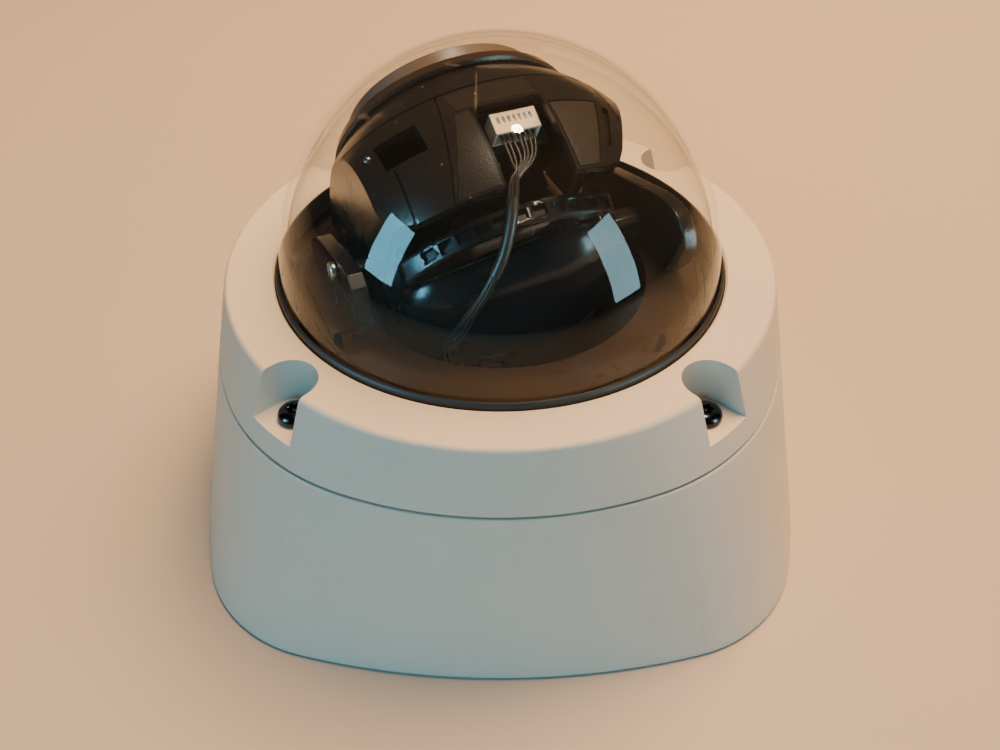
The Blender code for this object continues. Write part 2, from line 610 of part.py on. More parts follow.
def build_tilt(tilt, pan):
    """The ball-shaped camera body, its rear frame and cover, drawn with +Y along the lens."""
    shell = ball("camera_shell", BALL_RADIUS, 36, 18, tilt, "black_plastic")
    plan = shell_plan(0.0, BALL_FRONT)
    boolean(shell, prism("shell_keep", plan, -60, 60, "Z", parent=tilt), "INTERSECT")
    floor_cut = box("shell_floor", (-60, -60, -60), (60, 60, -1.0), parent=pan)
    boolean(shell, floor_cut)
    hollow = ball("shell_hollow", BALL_RADIUS - 2.2, 28, 14, tilt)
    inner = prism("shell_hollow_keep", shell_plan(2.2, 60.0), -61, 61, "Z", parent=tilt)
    boolean(hollow, inner, "INTERSECT")
    boolean(shell, hollow)
    boolean(shell, box("plug_window", (-9.0, -20.0, 30.0), (6.5, 17.0, 60.0), parent=tilt))
    boolean(shell, box("side_window", (-28.5, 11.0, 20.0), (-20.0, 19.0, 60.0), parent=tilt))
    bm = bmesh.new()
    add_box(bm, (-60.0, -30.0, -60.0), (-15.0, 8.5, 12.0))
    add_box(bm, (15.0, -30.0, -60.0), (60.0, 11.8, 12.0))
    boolean(shell, finish(bm, "pivot_notches", parent=tilt))

    outline = rounded_rectangle(27.0, -20.0, 25.0, 8.0, 4)
    bm = bmesh.new()
    add_loft(bm, [[rolled(x, y, z) for x, z in outline] for y in (FRAME_FRONT, -8.0)])
    frame = finish(bm, "rear_frame", "black_plastic", tilt)
    # The row of cells stands on an arch that follows the ball above the frame.
    arch = ball("frame_arch", 34.8, 36, 18, tilt)
    keep = box("frame_arch_keep", (-29.0, -8.0, 4.0), (18.4, FRAME_FRONT, 60.0), parent=tilt)
    boolean(arch, keep, "INTERSECT")
    boolean(arch, ball("frame_arch_inside", 32.4, 28, 14, tilt))
    boolean(frame, arch, "UNION")
    outline = rounded_rectangle(24.8, -17.8, 22.8, 5.8, 4)
    bm = bmesh.new()
    add_loft(bm, [[rolled(x, y, z) for x, z in outline] for y in (FRAME_FRONT + 4.0, -12.0)])
    boolean(frame, finish(bm, "rear_frame_inside", parent=tilt))
    bm = bmesh.new()
    for side in (1, -1):
        low, high = sorted((side * 24.2, side * 27.4))
        add_box(bm, (low, -7.9, -8.0), (high, 4.4, 8.0))
    boolean(frame, finish(bm, "frame_cheeks", parent=tilt), "UNION")
    lock = polar(LOCK_ARC, LOCK_ANGLE)[:2]
    sides = ((1, "right"), (-1, "left"))
    for side, name in sides:
        ends = sorted((side * 25.5, side * (ARM_INSIDE - 0.4)))
        shape = arc(4.0, 0, 360, 16)[:-1] if side > 0 else capsule((0, 0), lock, 4.0)
        ear = prism(f"ear_{name}", shape, ends[0], ends[1], "X", parent=tilt)
        boolean(frame, ear, "UNION")
    for side, name in sides:
        low, high = sorted((side * 31.0, side * 50.0))
        pivot_bore = arc(1.9, 0, 360, 14)[:-1]
        boolean(frame, prism(f"ear_bore_{name}", pivot_bore, low, high, "X", parent=tilt))
    lock_bore = arc(1.45, 0, 360, 12, lock)[:-1]
    boolean(frame, prism("lock_bore", lock_bore, -50.0, -31.0, "X", parent=tilt))
    # Shallow cells, one beside the next around the arch.
    bm = bmesh.new()
    for index in range(11):
        turn = Matrix.Rotation(math.radians(-44.0 + 7.2 * index), 3, "Y")
        corners = ((-1.7, 33.2), (1.7, 33.2), (1.7, 40.0), (-1.7, 40.0))
        add_loft(bm, [[turn @ Vector((x, y, z)) for x, z in corners] for y in (-4.9, -7.2)])
    boolean(frame, finish(bm, "frame_cells", parent=tilt))

    outer = ((-8.3, 0.98), (-12.0, 0.93), (-16.0, 0.83), (-19.0, 0.69), (-21.0, 0.52), (-22.0, 0.34))
    inner = ((-6.0, 0.98), (-10.0, 0.93), (-14.0, 0.83), (-17.0, 0.69), (-19.0, 0.52))
    outline = rounded_rectangle(26.6, -22.0, 22.0, 12.0, 3)
    cover = rolled_loft("rear_cover", outline, outer, tilt, "black_plastic")
    outline = rounded_rectangle(24.6, -20.0, 20.0, 10.0, 3)
    boolean(cover, rolled_loft("rear_cover_inside", outline, inner, tilt))
    board = rounded_rectangle(19.0, -16.5, 16.5, 3.0, 2)
    rolled_loft("processor_board", board, ((-6.6, 1.0), (-5.0, 1.0)), tilt, "circuit_board")

    for side, name in sides:
        low, high = sorted((side * 32.0, side * (ARM_OUTSIDE - 1.0)))
        pin = arc(1.6, 0, 360, 16)[:-1]
        prism(f"pivot_pin_{name}", pin, low, high, "X", "steel", tilt)
    head = (2.2, ARM_OUTSIDE + 0.3, ARM_OUTSIDE + 1.7)
    side_screw("tilt_lock_screw", -1, head, (1.15, 32.0), lock, tilt)

    box("connector_board", (-8.0, 9.5, 32.4), (8.0, 19.0, 33.6), "circuit_board", tilt)
    plug = box("camera_plug", (-5.2, 10.5, 33.9), (5.2, 15.5, 39.0), "white_plastic", tilt)
    boolean(plug, box("camera_plug_mouth", (-4.2, 9.0, 34.6), (4.2, 12.8, 38.3), parent=tilt))

    collar = [(25.3, 34.3), (29.6, 34.3), (30.2, 34.9), (29.0, 37.2), (25.3, 37.2)]
    made = lathe("azimuth_collar", collar, 32, "satin_plastic")
    made.parent = tilt
    made.rotation_euler.x = math.radians(-90)
    boolean(made, floor_cut)


def build_azimuth(azimuth):
    """The lens block and its hood, drawn with +Z along the lens."""
    top = HOOD_SPHERE
    first = math.degrees(math.acos(HOOD_RADIUS / top))
    last = math.degrees(math.acos(13.6 / top))
    outside = arc(top, first, last, 3)
    inside = list(reversed(arc(top - 1.7, first + 2.2, last, 3)))
    profile = [(HOOD_RADIUS - 1.6, 33.5), (HOOD_RADIUS, 33.5)] + outside + [(13.6, inside[0][1])] + inside[1:]
    lathe("azimuth_hood", profile, 32, "hood_plastic", azimuth)

    mount = box("lens_mount", (-13.0, -13.0, 9.0), (13.0, 13.0, 14.0), "black_plastic", azimuth)
    boolean(mount, rod("lens_mount_bore", 7.0, 6.0, 20.0, steps=24, parent=azimuth))
    boolean(mount, box("filter_gate", (-30.0, -7.2, 9.0 - 2), (30.0, 7.2, 11.2), parent=azimuth))
    box("sensor_board", (-11.5, -11.5, 5.4), (11.5, 11.5, 6.8), "circuit_board", azimuth)
    tube = [(8.4, 14.3), (13.2, 14.3), (13.2, 36.2)]
    nose = [(14.6, 36.8), (14.6, 40.2), (12.6, 40.2), (11.4, 38.4), (8.4, 36.8)]
    lathe("lens_barrel", tube + nose, 24, "black_plastic", azimuth)
    glass = [(7.9, 30.0), (7.9, 37.2), (10.9, 38.9), (8.5, 40.0), (5.0, 40.8), (1.6, 41.1)]
    turned("front_lens", glass, 24, "lens_glass", azimuth)


def build_rings(azimuth):
    for name, low in (("zoom_ring", 18.0), ("focus_ring", 27.0)):
        band = [(13.5, low), (15.6, low), (15.6, low + 5.5), (13.5, low + 5.5)]
        lathe(name, band, 24, "satin_plastic", azimuth)
    box("ir_cut_filter", (-8.0, -6.6, 9.4), (15.5, 6.6, 10.4), "filter_glass", azimuth)


def build_harness(pan, tilt):
    """One sleeved loom from the camera plug, over the rear frame, into the bowl and through its hub."""
    bpy.context.view_layer.update()
    to_world = Matrix.Scale(1000, 4) @ tilt.matrix_world @ Matrix.Scale(0.001, 4)
    route = [
        to_world @ Vector((0.0, 12.4, 36.4)),
        to_world @ Vector((0.0, 8.0, 36.9)),
        to_world @ Vector((-1.2, 1.5, 37.6)),
        Vector((2.9, -19.0, GIMBAL_Z + 32.3)),
        Vector((2.4, -25.0, GIMBAL_Z + 27.2)),
        Vector((0.6, -29.9, GIMBAL_Z + 20.8)),
        Vector((-3.0, -32.9, GIMBAL_Z + 13.6)),
        Vector((-7.6, -32.8, GIMBAL_Z + 5.2)),
        Vector((-10.9, -30.8, GIMBAL_Z - 3.2)),
        Vector((-10.2, -27.2, GIMBAL_Z - 12.5)),
        Vector((-6.0, -20.0, GIMBAL_Z - 22.5)),
        Vector((-2.4, -9.0, GIMBAL_Z - 29.5)),
        Vector((0.0, -2.0, GIMBAL_Z - 34.0)),
        Vector((0.0, 0.0, GIMBAL_Z - 40.5)),
        Vector((0.0, 1.5, 12.5)),
        Vector((0.0, 10.0, 8.9)),
        Vector((0.0, 22.0, 8.6)),
        Vector((0.0, 33.0, 10.4)),
        Vector((0.0, 39.5, 13.2)),
        Vector((0.0, 44.4, 13.4)),
    ]
    points = smooth_route(route, 2)
    curve = bpy.data.curves.new("wire_harness", "CURVE")
    curve.dimensions = "3D"
    curve.bevel_depth = 1.55 * MM
    curve.bevel_resolution = 2
    curve.use_fill_caps = True
    curve.twist_mode = "MINIMUM"
    spline = curve.splines.new("POLY")
    spline.points.add(len(points) - 1)
    back = pan.matrix_world.inverted()
    for point, place in zip(spline.points, points):
        local = back @ (place * MM)
        point.co = (*local, 1.0)
    curve.materials.append(material("wire_sleeve"))
    harness = bpy.data.objects.new("wire_harness", curve)
    harness.parent = pan
    bpy.context.scene.collection.objects.link(harness)


def smooth_route(route, steps):
    """Points of a Catmull-Rom curve through the route."""
    padded = [route[0] * 2 - route[1]] + route + [route[-1] * 2 - route[-2]]
    points = []
    for a, b, c, d in zip(padded, padded[1:], padded[2:], padded[3:]):
        for i in range(steps):
            t = i / steps
            square = 2 * a - 5 * b + 4 * c - d
            cube = 3 * b - a - 3 * c + d
            points.append(0.5 * (2 * b + (c - a) * t + square * t**2 + cube * t**3))
    points.append(route[-1])
    return points


def main():
    clear_scene()
    base = build_housing()
    build_conduit(base)
    build_cover()
    build_electronics()
    build_gimbal_base()
    pan = empty("pan_axis", (0, 0, GIMBAL_Z), (0, 0, PAN_DEG))
    tilt = empty("tilt_axis", (0, 0, 0), (TILT_DEG, 0, 0), pan)
    # Local +Z of the azimuth empty runs along the lens.
    azimuth = empty("azimuth_axis", (0, 0, 0), (-90, 0, 0), tilt)
    build_pan(pan)
    build_tilt(tilt, pan)
    build_azimuth(azimuth)
    build_rings(azimuth)
    build_harness(pan, tilt)


main()
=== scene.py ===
"""Looks of the dome camera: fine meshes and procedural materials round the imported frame."""
import json
import math
import random

import bmesh
import bpy
from mathutils import Matrix, Vector

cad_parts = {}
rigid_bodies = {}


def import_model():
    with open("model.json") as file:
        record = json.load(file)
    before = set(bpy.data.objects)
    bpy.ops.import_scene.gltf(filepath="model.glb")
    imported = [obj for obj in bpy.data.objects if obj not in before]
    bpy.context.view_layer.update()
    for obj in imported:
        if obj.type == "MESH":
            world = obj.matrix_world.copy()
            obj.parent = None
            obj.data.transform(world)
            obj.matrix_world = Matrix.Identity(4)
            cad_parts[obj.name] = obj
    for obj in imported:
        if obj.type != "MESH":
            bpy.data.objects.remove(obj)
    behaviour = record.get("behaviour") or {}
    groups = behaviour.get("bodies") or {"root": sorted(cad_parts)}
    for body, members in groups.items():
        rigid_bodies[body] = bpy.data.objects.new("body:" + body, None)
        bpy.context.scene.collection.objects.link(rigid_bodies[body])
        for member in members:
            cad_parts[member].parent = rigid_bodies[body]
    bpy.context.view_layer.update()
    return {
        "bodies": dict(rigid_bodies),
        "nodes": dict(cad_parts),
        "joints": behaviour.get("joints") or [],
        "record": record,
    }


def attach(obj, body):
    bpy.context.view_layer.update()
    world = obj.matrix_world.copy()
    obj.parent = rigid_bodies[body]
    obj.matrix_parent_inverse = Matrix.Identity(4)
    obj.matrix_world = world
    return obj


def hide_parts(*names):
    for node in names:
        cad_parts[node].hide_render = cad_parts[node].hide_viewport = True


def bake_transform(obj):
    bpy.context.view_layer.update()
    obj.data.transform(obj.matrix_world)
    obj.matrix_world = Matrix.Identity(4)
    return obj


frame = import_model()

MM = 0.001

# Housing, as in the CAD, in millimetres.
FOOT_OUTLINE = (77.4, 178.6, 35.3)
PARTING_OUTLINE = (68.7, 88.0, 52.4)
FACE_RADIUS = 65.2
PARTING_Z = 45.2
FACE_Z = 61.7
PARTING_GAP = 0.5
WALL = 4.5
FLOOR = 3.5
RING_STEPS = 160
COVER_WALL = 3.0
COVER_PLATE = 3.3
OPENING_RADIUS = 53.7
DOME_OUTER = 52.2
DOME_INNER = 50.4
DOME_Z = 61.8
NOTCH_CENTRE = 62.7
NOTCH_RADIUS = 6.2
NOTCH_FLOOR_Z = 50.7
NOTCH_WALL = 1.7
CORNERS = (45, 135, 225, 315)
SIDES = (0, 90, 180, 270)
RETAINER_CIRCLE = 60.4

# Gimbal and camera module.
RING_INNER = 35.2
RING_OUTER = 49.2
RING_TOP = -4.8
BOWL_INNER = 35.8
BOWL_WALL = 2.4
LEG_CIRCLE = 28.0
ARM_INSIDE = 36.6
ARM_OUTSIDE = 40.2
BALL_RADIUS = 44.5
BALL_HALF_WIDTH = 33.0
BALL_REAR = -3.5
BALL_FRONT = 34.0
FRAME_FRONT = -3.9
HOOD_RADIUS = 24.6
HOOD_SPHERE = 49.2
LOCK_ARC = 7.5
LOCK_ANGLE = 65.0
FRAME_ROLL = 20.0
BOARD_TOP = 10.9
MOUNTING_HOLES = ((-38, -50), (38, -50), (-38, 50), (38, 50))
BOARD_SCREWS = ((-28.5, 44.5), (28.5, 44.5), (-28.5, 62.5), (5.0, 62.6))
CABLE_HOLE = (-50.0, 0.0)
CONDUIT_Z = 21.0
CONDUIT_RADIUS = 10.6
RECESS_DEPTH = 0.8
WIRE_COUNT = 7
WIRE_PITCH = 1.22
WIRE_RADIUS = 0.36
KNURL_STEPS = 192


def rotation(degrees, axis):
    return Matrix.Rotation(math.radians(degrees), 4, axis)


HERE = Matrix.Identity(4)
PAN = Matrix.Translation((0, 0, DOME_Z)) @ rotation(23, "Z")
TILT = PAN @ rotation(30, "X")
LENS = TILT @ rotation(-90, "X")
ROLL = rotation(-FRAME_ROLL, "Y")
BELOW_RIM = ((-60, -60, -60), (60, 60, -1))


def polar(radius, degrees):
    angle = math.radians(degrees)
    return (radius * math.cos(angle), radius * math.sin(angle))


COVER_SCREWS = [polar(NOTCH_CENTRE, angle) for angle in CORNERS]
RETAINER_SCREWS = [polar(RETAINER_CIRCLE, angle) for angle in SIDES]
LEGS = [polar(LEG_CIRCLE, 30 + 120 * index) for index in range(3)]


# ---------------- mesh helpers

def span(side, near, far):
    """The low and high X of something between two distances, on the side given by a sign."""
    return sorted((side * near, side * far))


def arc(radius, first, last, steps, centre=(0.0, 0.0)):
    points = []
    for i in range(steps + 1):
        x, y = polar(radius, first + (last - first) * i / steps)
        points.append((centre[0] + x, centre[1] + y))
    return points


def circle(radius, steps, centre=(0.0, 0.0)):
    return arc(radius, 0, 360, steps, centre)[:-1]


def loft(bm, rings):
    rows = [[bm.verts.new(point) for point in ring] for ring in rings]
    count = len(rows[0])
    for low, high in zip(rows, rows[1:]):
        for i in range(count):
            j = (i + 1) % count
            bm.faces.new((low[i], low[j], high[j], high[i]))
    bm.faces.new(reversed(rows[0]))
    bm.faces.new(rows[-1])
    return bm


def lathe(bm, profile, steps, at=(0.0, 0.0)):
    """Turns an outline of (radius, z) about a vertical line."""
    rows = []
    for i in range(steps):
        x, y = polar(1.0, 360 * (i + 0.5) / steps)
        rows.append([bm.verts.new((at[0] + r * x, at[1] + r * y, z)) for r, z in profile])
    count = len(profile)
    for i in range(steps):
        here, there = rows[i], rows[(i + 1) % steps]
        for a in range(count):
            b = (a + 1) % count
            bm.faces.new((here[a], there[a], there[b], here[b]))
    return bm


def turned(bm, levels, steps, at=(0.0, 0.0)):
    unit = circle(1.0, steps)
    return loft(bm, [[(at[0] + r * x, at[1] + r * y, z) for x, y in unit] for r, z in levels])


def rod(bm, radius, low, high, at=(0.0, 0.0), steps=24):
    return turned(bm, [(radius, low), (radius, high)], steps, at)


def block(bm, low, high, frame=HERE):
    centre = [(a + b) / 2 for a, b in zip(low, high)]
    size = [b - a for a, b in zip(low, high)]
    place = frame @ Matrix.Translation(centre) @ Matrix.Diagonal((*size, 1.0))
    bmesh.ops.create_cube(bm, size=1.0, matrix=place)
    return bm


def prism(bm, outline, low, high, axis="Z"):
    turn = {
        "X": lambda a, b, c: (c, a, b),
        "Y": lambda a, b, c: (a, c, b),
        "Z": lambda a, b, c: (a, b, c),
    }[axis]
    return loft(bm, [[turn(a, b, c) for a, b in outline] for c in (low, high)])


def rounded(half_width, low, high, radius, steps=8):
    across, down, up = half_width - radius, low + radius, high - radius
    corners = (((across, down), -90), ((across, up), 0), ((-across, up), 90), ((-across, down), 180))
    outline = []
    for centre, first in corners:
        outline += arc(radius, first, first + 90, steps, centre)
    return outline


def capsule(start, end, radius, steps=16):
    turn = math.degrees(math.atan2(end[1] - start[1], end[0] - start[0]))
    return arc(radius, turn - 90, turn + 90, steps, end) + arc(radius, turn + 90, turn + 270, steps, start)


def tube(bm, points, radius, steps=8, flat=1.0):
    """A capped tube along a path, kept from twisting."""
    points = [Vector(p) for p in points]
    side = None
    rings = []
    for i, point in enumerate(points):
        along = (points[min(i + 1, len(points) - 1)] - points[max(i - 1, 0)]).normalized()
        if side is None:
            side = along.orthogonal().normalized()
        side = (side - along * side.dot(along)).normalized()
        up = along.cross(side)
        r = radius(i / (len(points) - 1)) if callable(radius) else radius
        ring = []
        for x, y in circle(1.0, steps):
            ring.append(point + side * (r * x) + up * (r * flat * y))
        rings.append(ring)
    return loft(bm, rings)


def smooth_path(route, steps):
    route = [Vector(p) for p in route]
    padded = [route[0] * 2 - route[1]] + route + [route[-1] * 2 - route[-2]]
    points = []
    for a, b, c, d in zip(padded, padded[1:], padded[2:], padded[3:]):
        for i in range(steps):
            t = i / steps
            square = 2 * a - 5 * b + 4 * c - d
            cube = 3 * b - a - 3 * c + d
            points.append(0.5 * (2 * b + (c - a) * t + square * t**2 + cube * t**3))
    points.append(route[-1])
    return points


def solid(bm, frame=HERE):
    """An object from a bmesh drawn in millimetres in one of the module's frames."""
    place = Matrix.Scale(MM, 4) @ frame
    bmesh.ops.transform(bm, matrix=place, verts=bm.verts)
    bmesh.ops.recalc_face_normals(bm, faces=bm.faces)
    mesh = bpy.data.meshes.new("cutter")
    bm.to_mesh(mesh)
    bm.free()
    obj = bpy.data.objects.new("cutter", mesh)
    bpy.context.scene.collection.objects.link(obj)
    return obj


def made(draw, *values, place=HERE, **more):
    """A new solid from one call of a mesh helper."""
    return solid(draw(bmesh.new(), *values, **more), place)


def box(low, high, place=HERE):
    return made(block, low, high, place=place)


def bar(outline, low, high, axis="Z", place=HERE):
    return made(prism, outline, low, high, axis, place=place)


def apply_modifiers(obj):
    bpy.context.view_layer.update()
    graph = bpy.context.evaluated_depsgraph_get()
    mesh = bpy.data.meshes.new_from_object(obj.evaluated_get(graph))
    old = obj.data
    obj.modifiers.clear()
    obj.data = mesh
    bpy.data.meshes.remove(old)


def boolean(obj, others, operation="DIFFERENCE"):
    """Cuts or joins the others in turn, and removes them."""
    for other in others:
        modifier = obj.modifiers.new(operation, "BOOLEAN")
        modifier.operation = operation
        modifier.solver = "EXACT"
        modifier.object = other
    apply_modifiers(obj)
    for other in others:
        bpy.data.objects.remove(other, do_unlink=True)
    return obj


def finish(obj, name, material, body, replaces=None, bevel=None, sharp=40):
    """Gives an object its name, material, edges and body."""
    obj.name = name
    obj.data.name = name
    obj.data.materials.clear()
    obj.data.materials.append(material)
    if bevel is not None:
        width, segments = bevel
        edge = obj.modifiers.new("edges", "BEVEL")
        edge.width = width * MM
        edge.segments = segments
        edge.limit_method = "ANGLE"
        edge.angle_limit = math.radians(sharp)
        edge.harden_normals = False
        edge.use_clamp_overlap = True
    obj.data.shade_smooth()
    if bevel is not None:
        weighted = obj.modifiers.new("normals", "WEIGHTED_NORMAL")
        weighted.keep_sharp = False
        weighted.weight = 60
    else:
        obj.data.set_sharp_from_angle(angle=math.radians(sharp))
    if body is not None:
        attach(obj, body)
    if replaces:
        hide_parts(replaces)


# ---------------- materials

class Nodes:
    """A small writer for node trees."""

    def __init__(self, name):
        self.material = bpy.data.materials.new(name)
        self.material.use_nodes = True
        self.tree = self.material.node_tree
        self.shader = self.tree.nodes["Principled BSDF"]
        self.output = self.tree.nodes["Material Output"]
        self.coords = self.tree.nodes.new("ShaderNodeTexCoord").outputs["Object"]

    def add(self, kind, **inputs):
        node = self.tree.nodes.new("ShaderNode" + kind)
        self.feed(node, **inputs)
        return node

    def feed(self, node, **inputs):
        for key, value in inputs.items():
            numbered = key[0] == "i" and key[1:].isdigit()
            socket = node.inputs[int(key[1:]) if numbered else key.replace("_", " ")]
            if isinstance(value, bpy.types.NodeSocket):
                self.tree.links.new(value, socket)
            else:
                socket.default_value = value

    def noise(self, scale, detail=2.0, rough=0.5, distortion=0.0, vector=None):
        node = self.add("TexNoise", Scale=scale, Detail=detail, Roughness=rough, Distortion=distortion)
        self.tree.links.new(vector or self.coords, node.inputs["Vector"])
        return node.outputs["Fac"]

    def stretched(self, x, y, z):
        node = self.add("Mapping", Scale=(x, y, z))
        self.tree.links.new(self.coords, node.inputs["Vector"])
        return node.outputs["Vector"]

    def cells(self, scale, randomness=1.0):
        node = self.add("TexVoronoi", Scale=scale, Randomness=randomness)
        self.tree.links.new(self.coords, node.inputs["Vector"])
        return node.outputs["Distance"]

    def ramp(self, value, low, high, first=0.0, last=1.0):
        node = self.add("MapRange", Value=value, From_Min=low, From_Max=high, To_Min=first, To_Max=last)
        node.clamp = True
        return node.outputs["Result"]

    def maths(self, operation, a, b=0.0):
        node = self.add("Math", i0=a, i1=b)
        node.operation = operation
        return node.outputs["Value"]

    def mix(self, factor, a, b):
        node = self.add("Mix")
        node.data_type = "RGBA"
        a, b = [(*c, 1.0) if isinstance(c, tuple) else c for c in (a, b)]
        self.feed(node, i0=factor, i6=a, i7=b)
        return node.outputs[2]

    def bump(self, height, distance, strength=1.0, normal=None):
        node = self.add("Bump", Strength=strength, Distance=distance * MM)
        self.tree.links.new(height, node.inputs["Height"])
        if normal is not None:
            self.tree.links.new(normal, node.inputs["Normal"])
        return node.outputs["Normal"]

    def done(self, **inputs):
        self.feed(self.shader, **inputs)
        return self.material


def moulded(name, colour, other, rough, spread=0.08, grain=0.02, grain_scale=2500, marks=0.0):
    """Moulded plastic: soft mottling, uneven gloss, a fine grain and faint handling marks."""
    n = Nodes(name)
    mottle = n.ramp(n.noise(55, 4, 0.6), 0.3, 0.7)
    colour_out = n.mix(mottle, colour, other)
    smear = n.ramp(n.noise(28, 3, 0.6, 0.6), 0.35, 0.65, rough - spread, rough + spread)
    if marks:
        lines = n.noise(420, 2, 0.5, 0.2, n.stretched(0.08, 1.0, 0.6))
        scratch = n.ramp(lines, 0.66, 0.70, 0.0, marks)
        colour_out = n.mix(scratch, colour_out, tuple(min(1.0, c * 2.2 + 0.05) for c in colour))
    if grain:
        n.feed(n.shader, Normal=n.bump(n.noise(grain_scale, 3, 0.6), grain))
    return n.done(Base_Color=colour_out, Roughness=smear)


def metal(name, colour, dark, rough, scale=900, brushed=(1, 1, 1)):
    n = Nodes(name)
    stain = n.ramp(n.noise(140, 4, 0.65), 0.35, 0.75)
    base = n.mix(stain, colour, dark)
    lines = n.noise(scale, 3, 0.6, 0.0, n.stretched(*brushed))
    roughness = n.ramp(lines, 0.3, 0.7, rough - 0.08, rough + 0.1)
    return n.done(Base_Color=base, Roughness=roughness, Metallic=1.0, Normal=n.bump(lines, 0.008))


def powder_coat():
    n = Nodes("powder_coat")
    mottle = n.ramp(n.noise(16, 5, 0.6, 0.4), 0.3, 0.72)
    clean = n.mix(mottle, (0.640, 0.650, 0.625), (0.600, 0.612, 0.592))
    # Handling grime gathers in faint blotches and thin vertical runs.
    grime = n.ramp(n.noise(34, 6, 0.7, 1.2), 0.60, 0.80, 0.0, 0.32)
    grimy = n.mix(grime, clean, (0.46, 0.435, 0.385))
    # A few dark nicks where the coat is knocked.
    spot = n.cells(62, 1.0)
    patch = n.ramp(n.noise(23, 2, 0.5), 0.62, 0.66)
    nick = n.maths("MULTIPLY", n.ramp(spot, 0.035, 0.055, 1.0, 0.0), patch)
    colour = n.mix(nick, grimy, (0.10, 0.09, 0.08))
    grain = n.noise(1500, 4, 0.62)
    orange = n.noise(420, 2, 0.5)
    rough = n.ramp(n.noise(60, 4, 0.6), 0.3, 0.7, 0.46, 0.60)
    normal = n.bump(orange, 0.035)
    normal = n.bump(grain, 0.03, 1.0, normal)
    normal = n.bump(nick, -0.25, 1.0, normal)
    return n.done(Base_Color=colour, Roughness=rough, Normal=normal)


def dome_clear():
    """Clear polycarbonate: it passes light straight on, mirrors some, and carries haze and scratches."""
    n = Nodes("clear_polycarbonate")
    fresnel = n.add("Fresnel", IOR=1.5).outputs["Fac"]
    # Light inside the wall passes on: only a ray that meets a face from the front is mirrored.
    behind = n.add("NewGeometry").outputs["Backfacing"]
    fresnel = n.maths("MULTIPLY", fresnel, n.maths("SUBTRACT", 1.0, behind))
    # Steep reflections are set lower than Fresnel's, which matches the dark view through the dome.
    fresnel = n.maths("MULTIPLY", fresnel, n.ramp(fresnel, 0.0, 0.25, 0.5, 1.0))
    hair = n.noise(260, 3, 0.5, 0.35, n.stretched(0.05, 0.5, 1.0))
    hair_two = n.noise(300, 2, 0.5, 0.5, n.stretched(0.9, 0.06, 0.35))
    zone = n.ramp(n.noise(32, 2, 0.5, 0.3), 0.52, 0.66)
    lines = n.maths("MAXIMUM", n.ramp(hair, 0.69, 0.70), n.ramp(hair_two, 0.715, 0.725))
    scratch = n.maths("MULTIPLY", lines, zone)
    dust = n.ramp(n.cells(170, 1.0), 0.022, 0.045, 1.0, 0.0)
    dust = n.maths("MULTIPLY", dust, n.ramp(n.noise(60, 2, 0.5), 0.46, 0.60))
    film = n.ramp(n.noise(24, 4, 0.6, 0.8), 0.35, 0.75, 0.002, 0.010)
    flaws = n.maths("MAXIMUM", n.maths("MULTIPLY", scratch, 0.09), n.maths("MULTIPLY", dust, 0.25))
    milk = n.maths("ADD", film, flaws)
    facing = n.add("LayerWeight", Blend=0.12).outputs["Facing"]
    milk = n.maths("ADD", milk, n.maths("MULTIPLY", n.maths("POWER", facing, 3.0), 0.26))
    mirror = n.tree.nodes.new("ShaderNodeBsdfGlossy")
    n.feed(mirror, Color=(1, 1, 1, 1), Roughness=0.02)
    n.feed(n.shader, Base_Color=(0.80, 0.79, 0.77, 1), Roughness=0.45)
    clear = n.tree.nodes.new("ShaderNodeBsdfTransparent")
    n.feed(clear, Color=(0.985, 0.985, 0.98, 1))
    inner = n.tree.nodes.new("ShaderNodeMixShader")
    n.feed(inner, i0=milk, i1=clear.outputs[0], i2=n.shader.outputs[0])
    outer = n.tree.nodes.new("ShaderNodeMixShader")
    n.feed(outer, i0=fresnel, i1=inner.outputs[0], i2=mirror.outputs[0])
    n.tree.links.new(outer.outputs[0], n.output.inputs["Surface"])
    return n.material


def coated_glass():
    n = Nodes("coated_lens_glass")
    facing = n.add("LayerWeight", Blend=0.45).outputs["Facing"]
    colour = n.mix(n.ramp(facing, 0.1, 0.8), (0.012, 0.004, 0.030), (0.012, 0.060, 0.045))
    smear = n.ramp(n.noise(160, 3, 0.6, 0.8), 0.45, 0.8, 0.02, 0.09)
    n.feed(n.shader, IOR=1.7, Coat_Weight=1.0, Coat_Roughness=0.02, Coat_IOR=1.9)
    return n.done(Base_Color=colour, Roughness=smear)


def circuit(name, mask):
    n = Nodes(name)
    cells = n.add("TexVoronoi", Scale=420.0, Randomness=0.35)
    cells.distance = "MANHATTAN"
    n.tree.links.new(n.coords, cells.inputs["Vector"])
    trace = n.ramp(n.maths("FRACT", n.maths("MULTIPLY", cells.outputs["Distance"], 5.0)), 0.42, 0.50)
    lighter = tuple(min(1.0, c * 1.7 + 0.01) for c in mask)
    colour = n.mix(trace, mask, lighter)
    pads = n.ramp(n.cells(700, 0.15), 0.16, 0.20, 1.0, 0.0)
    pads = n.maths("MULTIPLY", pads, n.ramp(n.noise(120, 1, 0.5), 0.56, 0.60))
    colour = n.mix(pads, colour, (0.72, 0.55, 0.22))
    metallic = n.ramp(pads, 0.2, 0.8)
    rough = n.ramp(trace, 0, 1, 0.30, 0.38)
    return n.done(Base_Color=colour, Metallic=metallic, Roughness=rough, Normal=n.bump(trace, 0.02))


def filter_glass():
    n = Nodes("coated_filter_glass")
    tint = n.ramp(n.noise(90), 0.3, 0.7)
    return n.done(Base_Color=n.mix(tint, (0.50, 0.10, 0.16), (0.30, 0.16, 0.34)), Roughness=0.04)


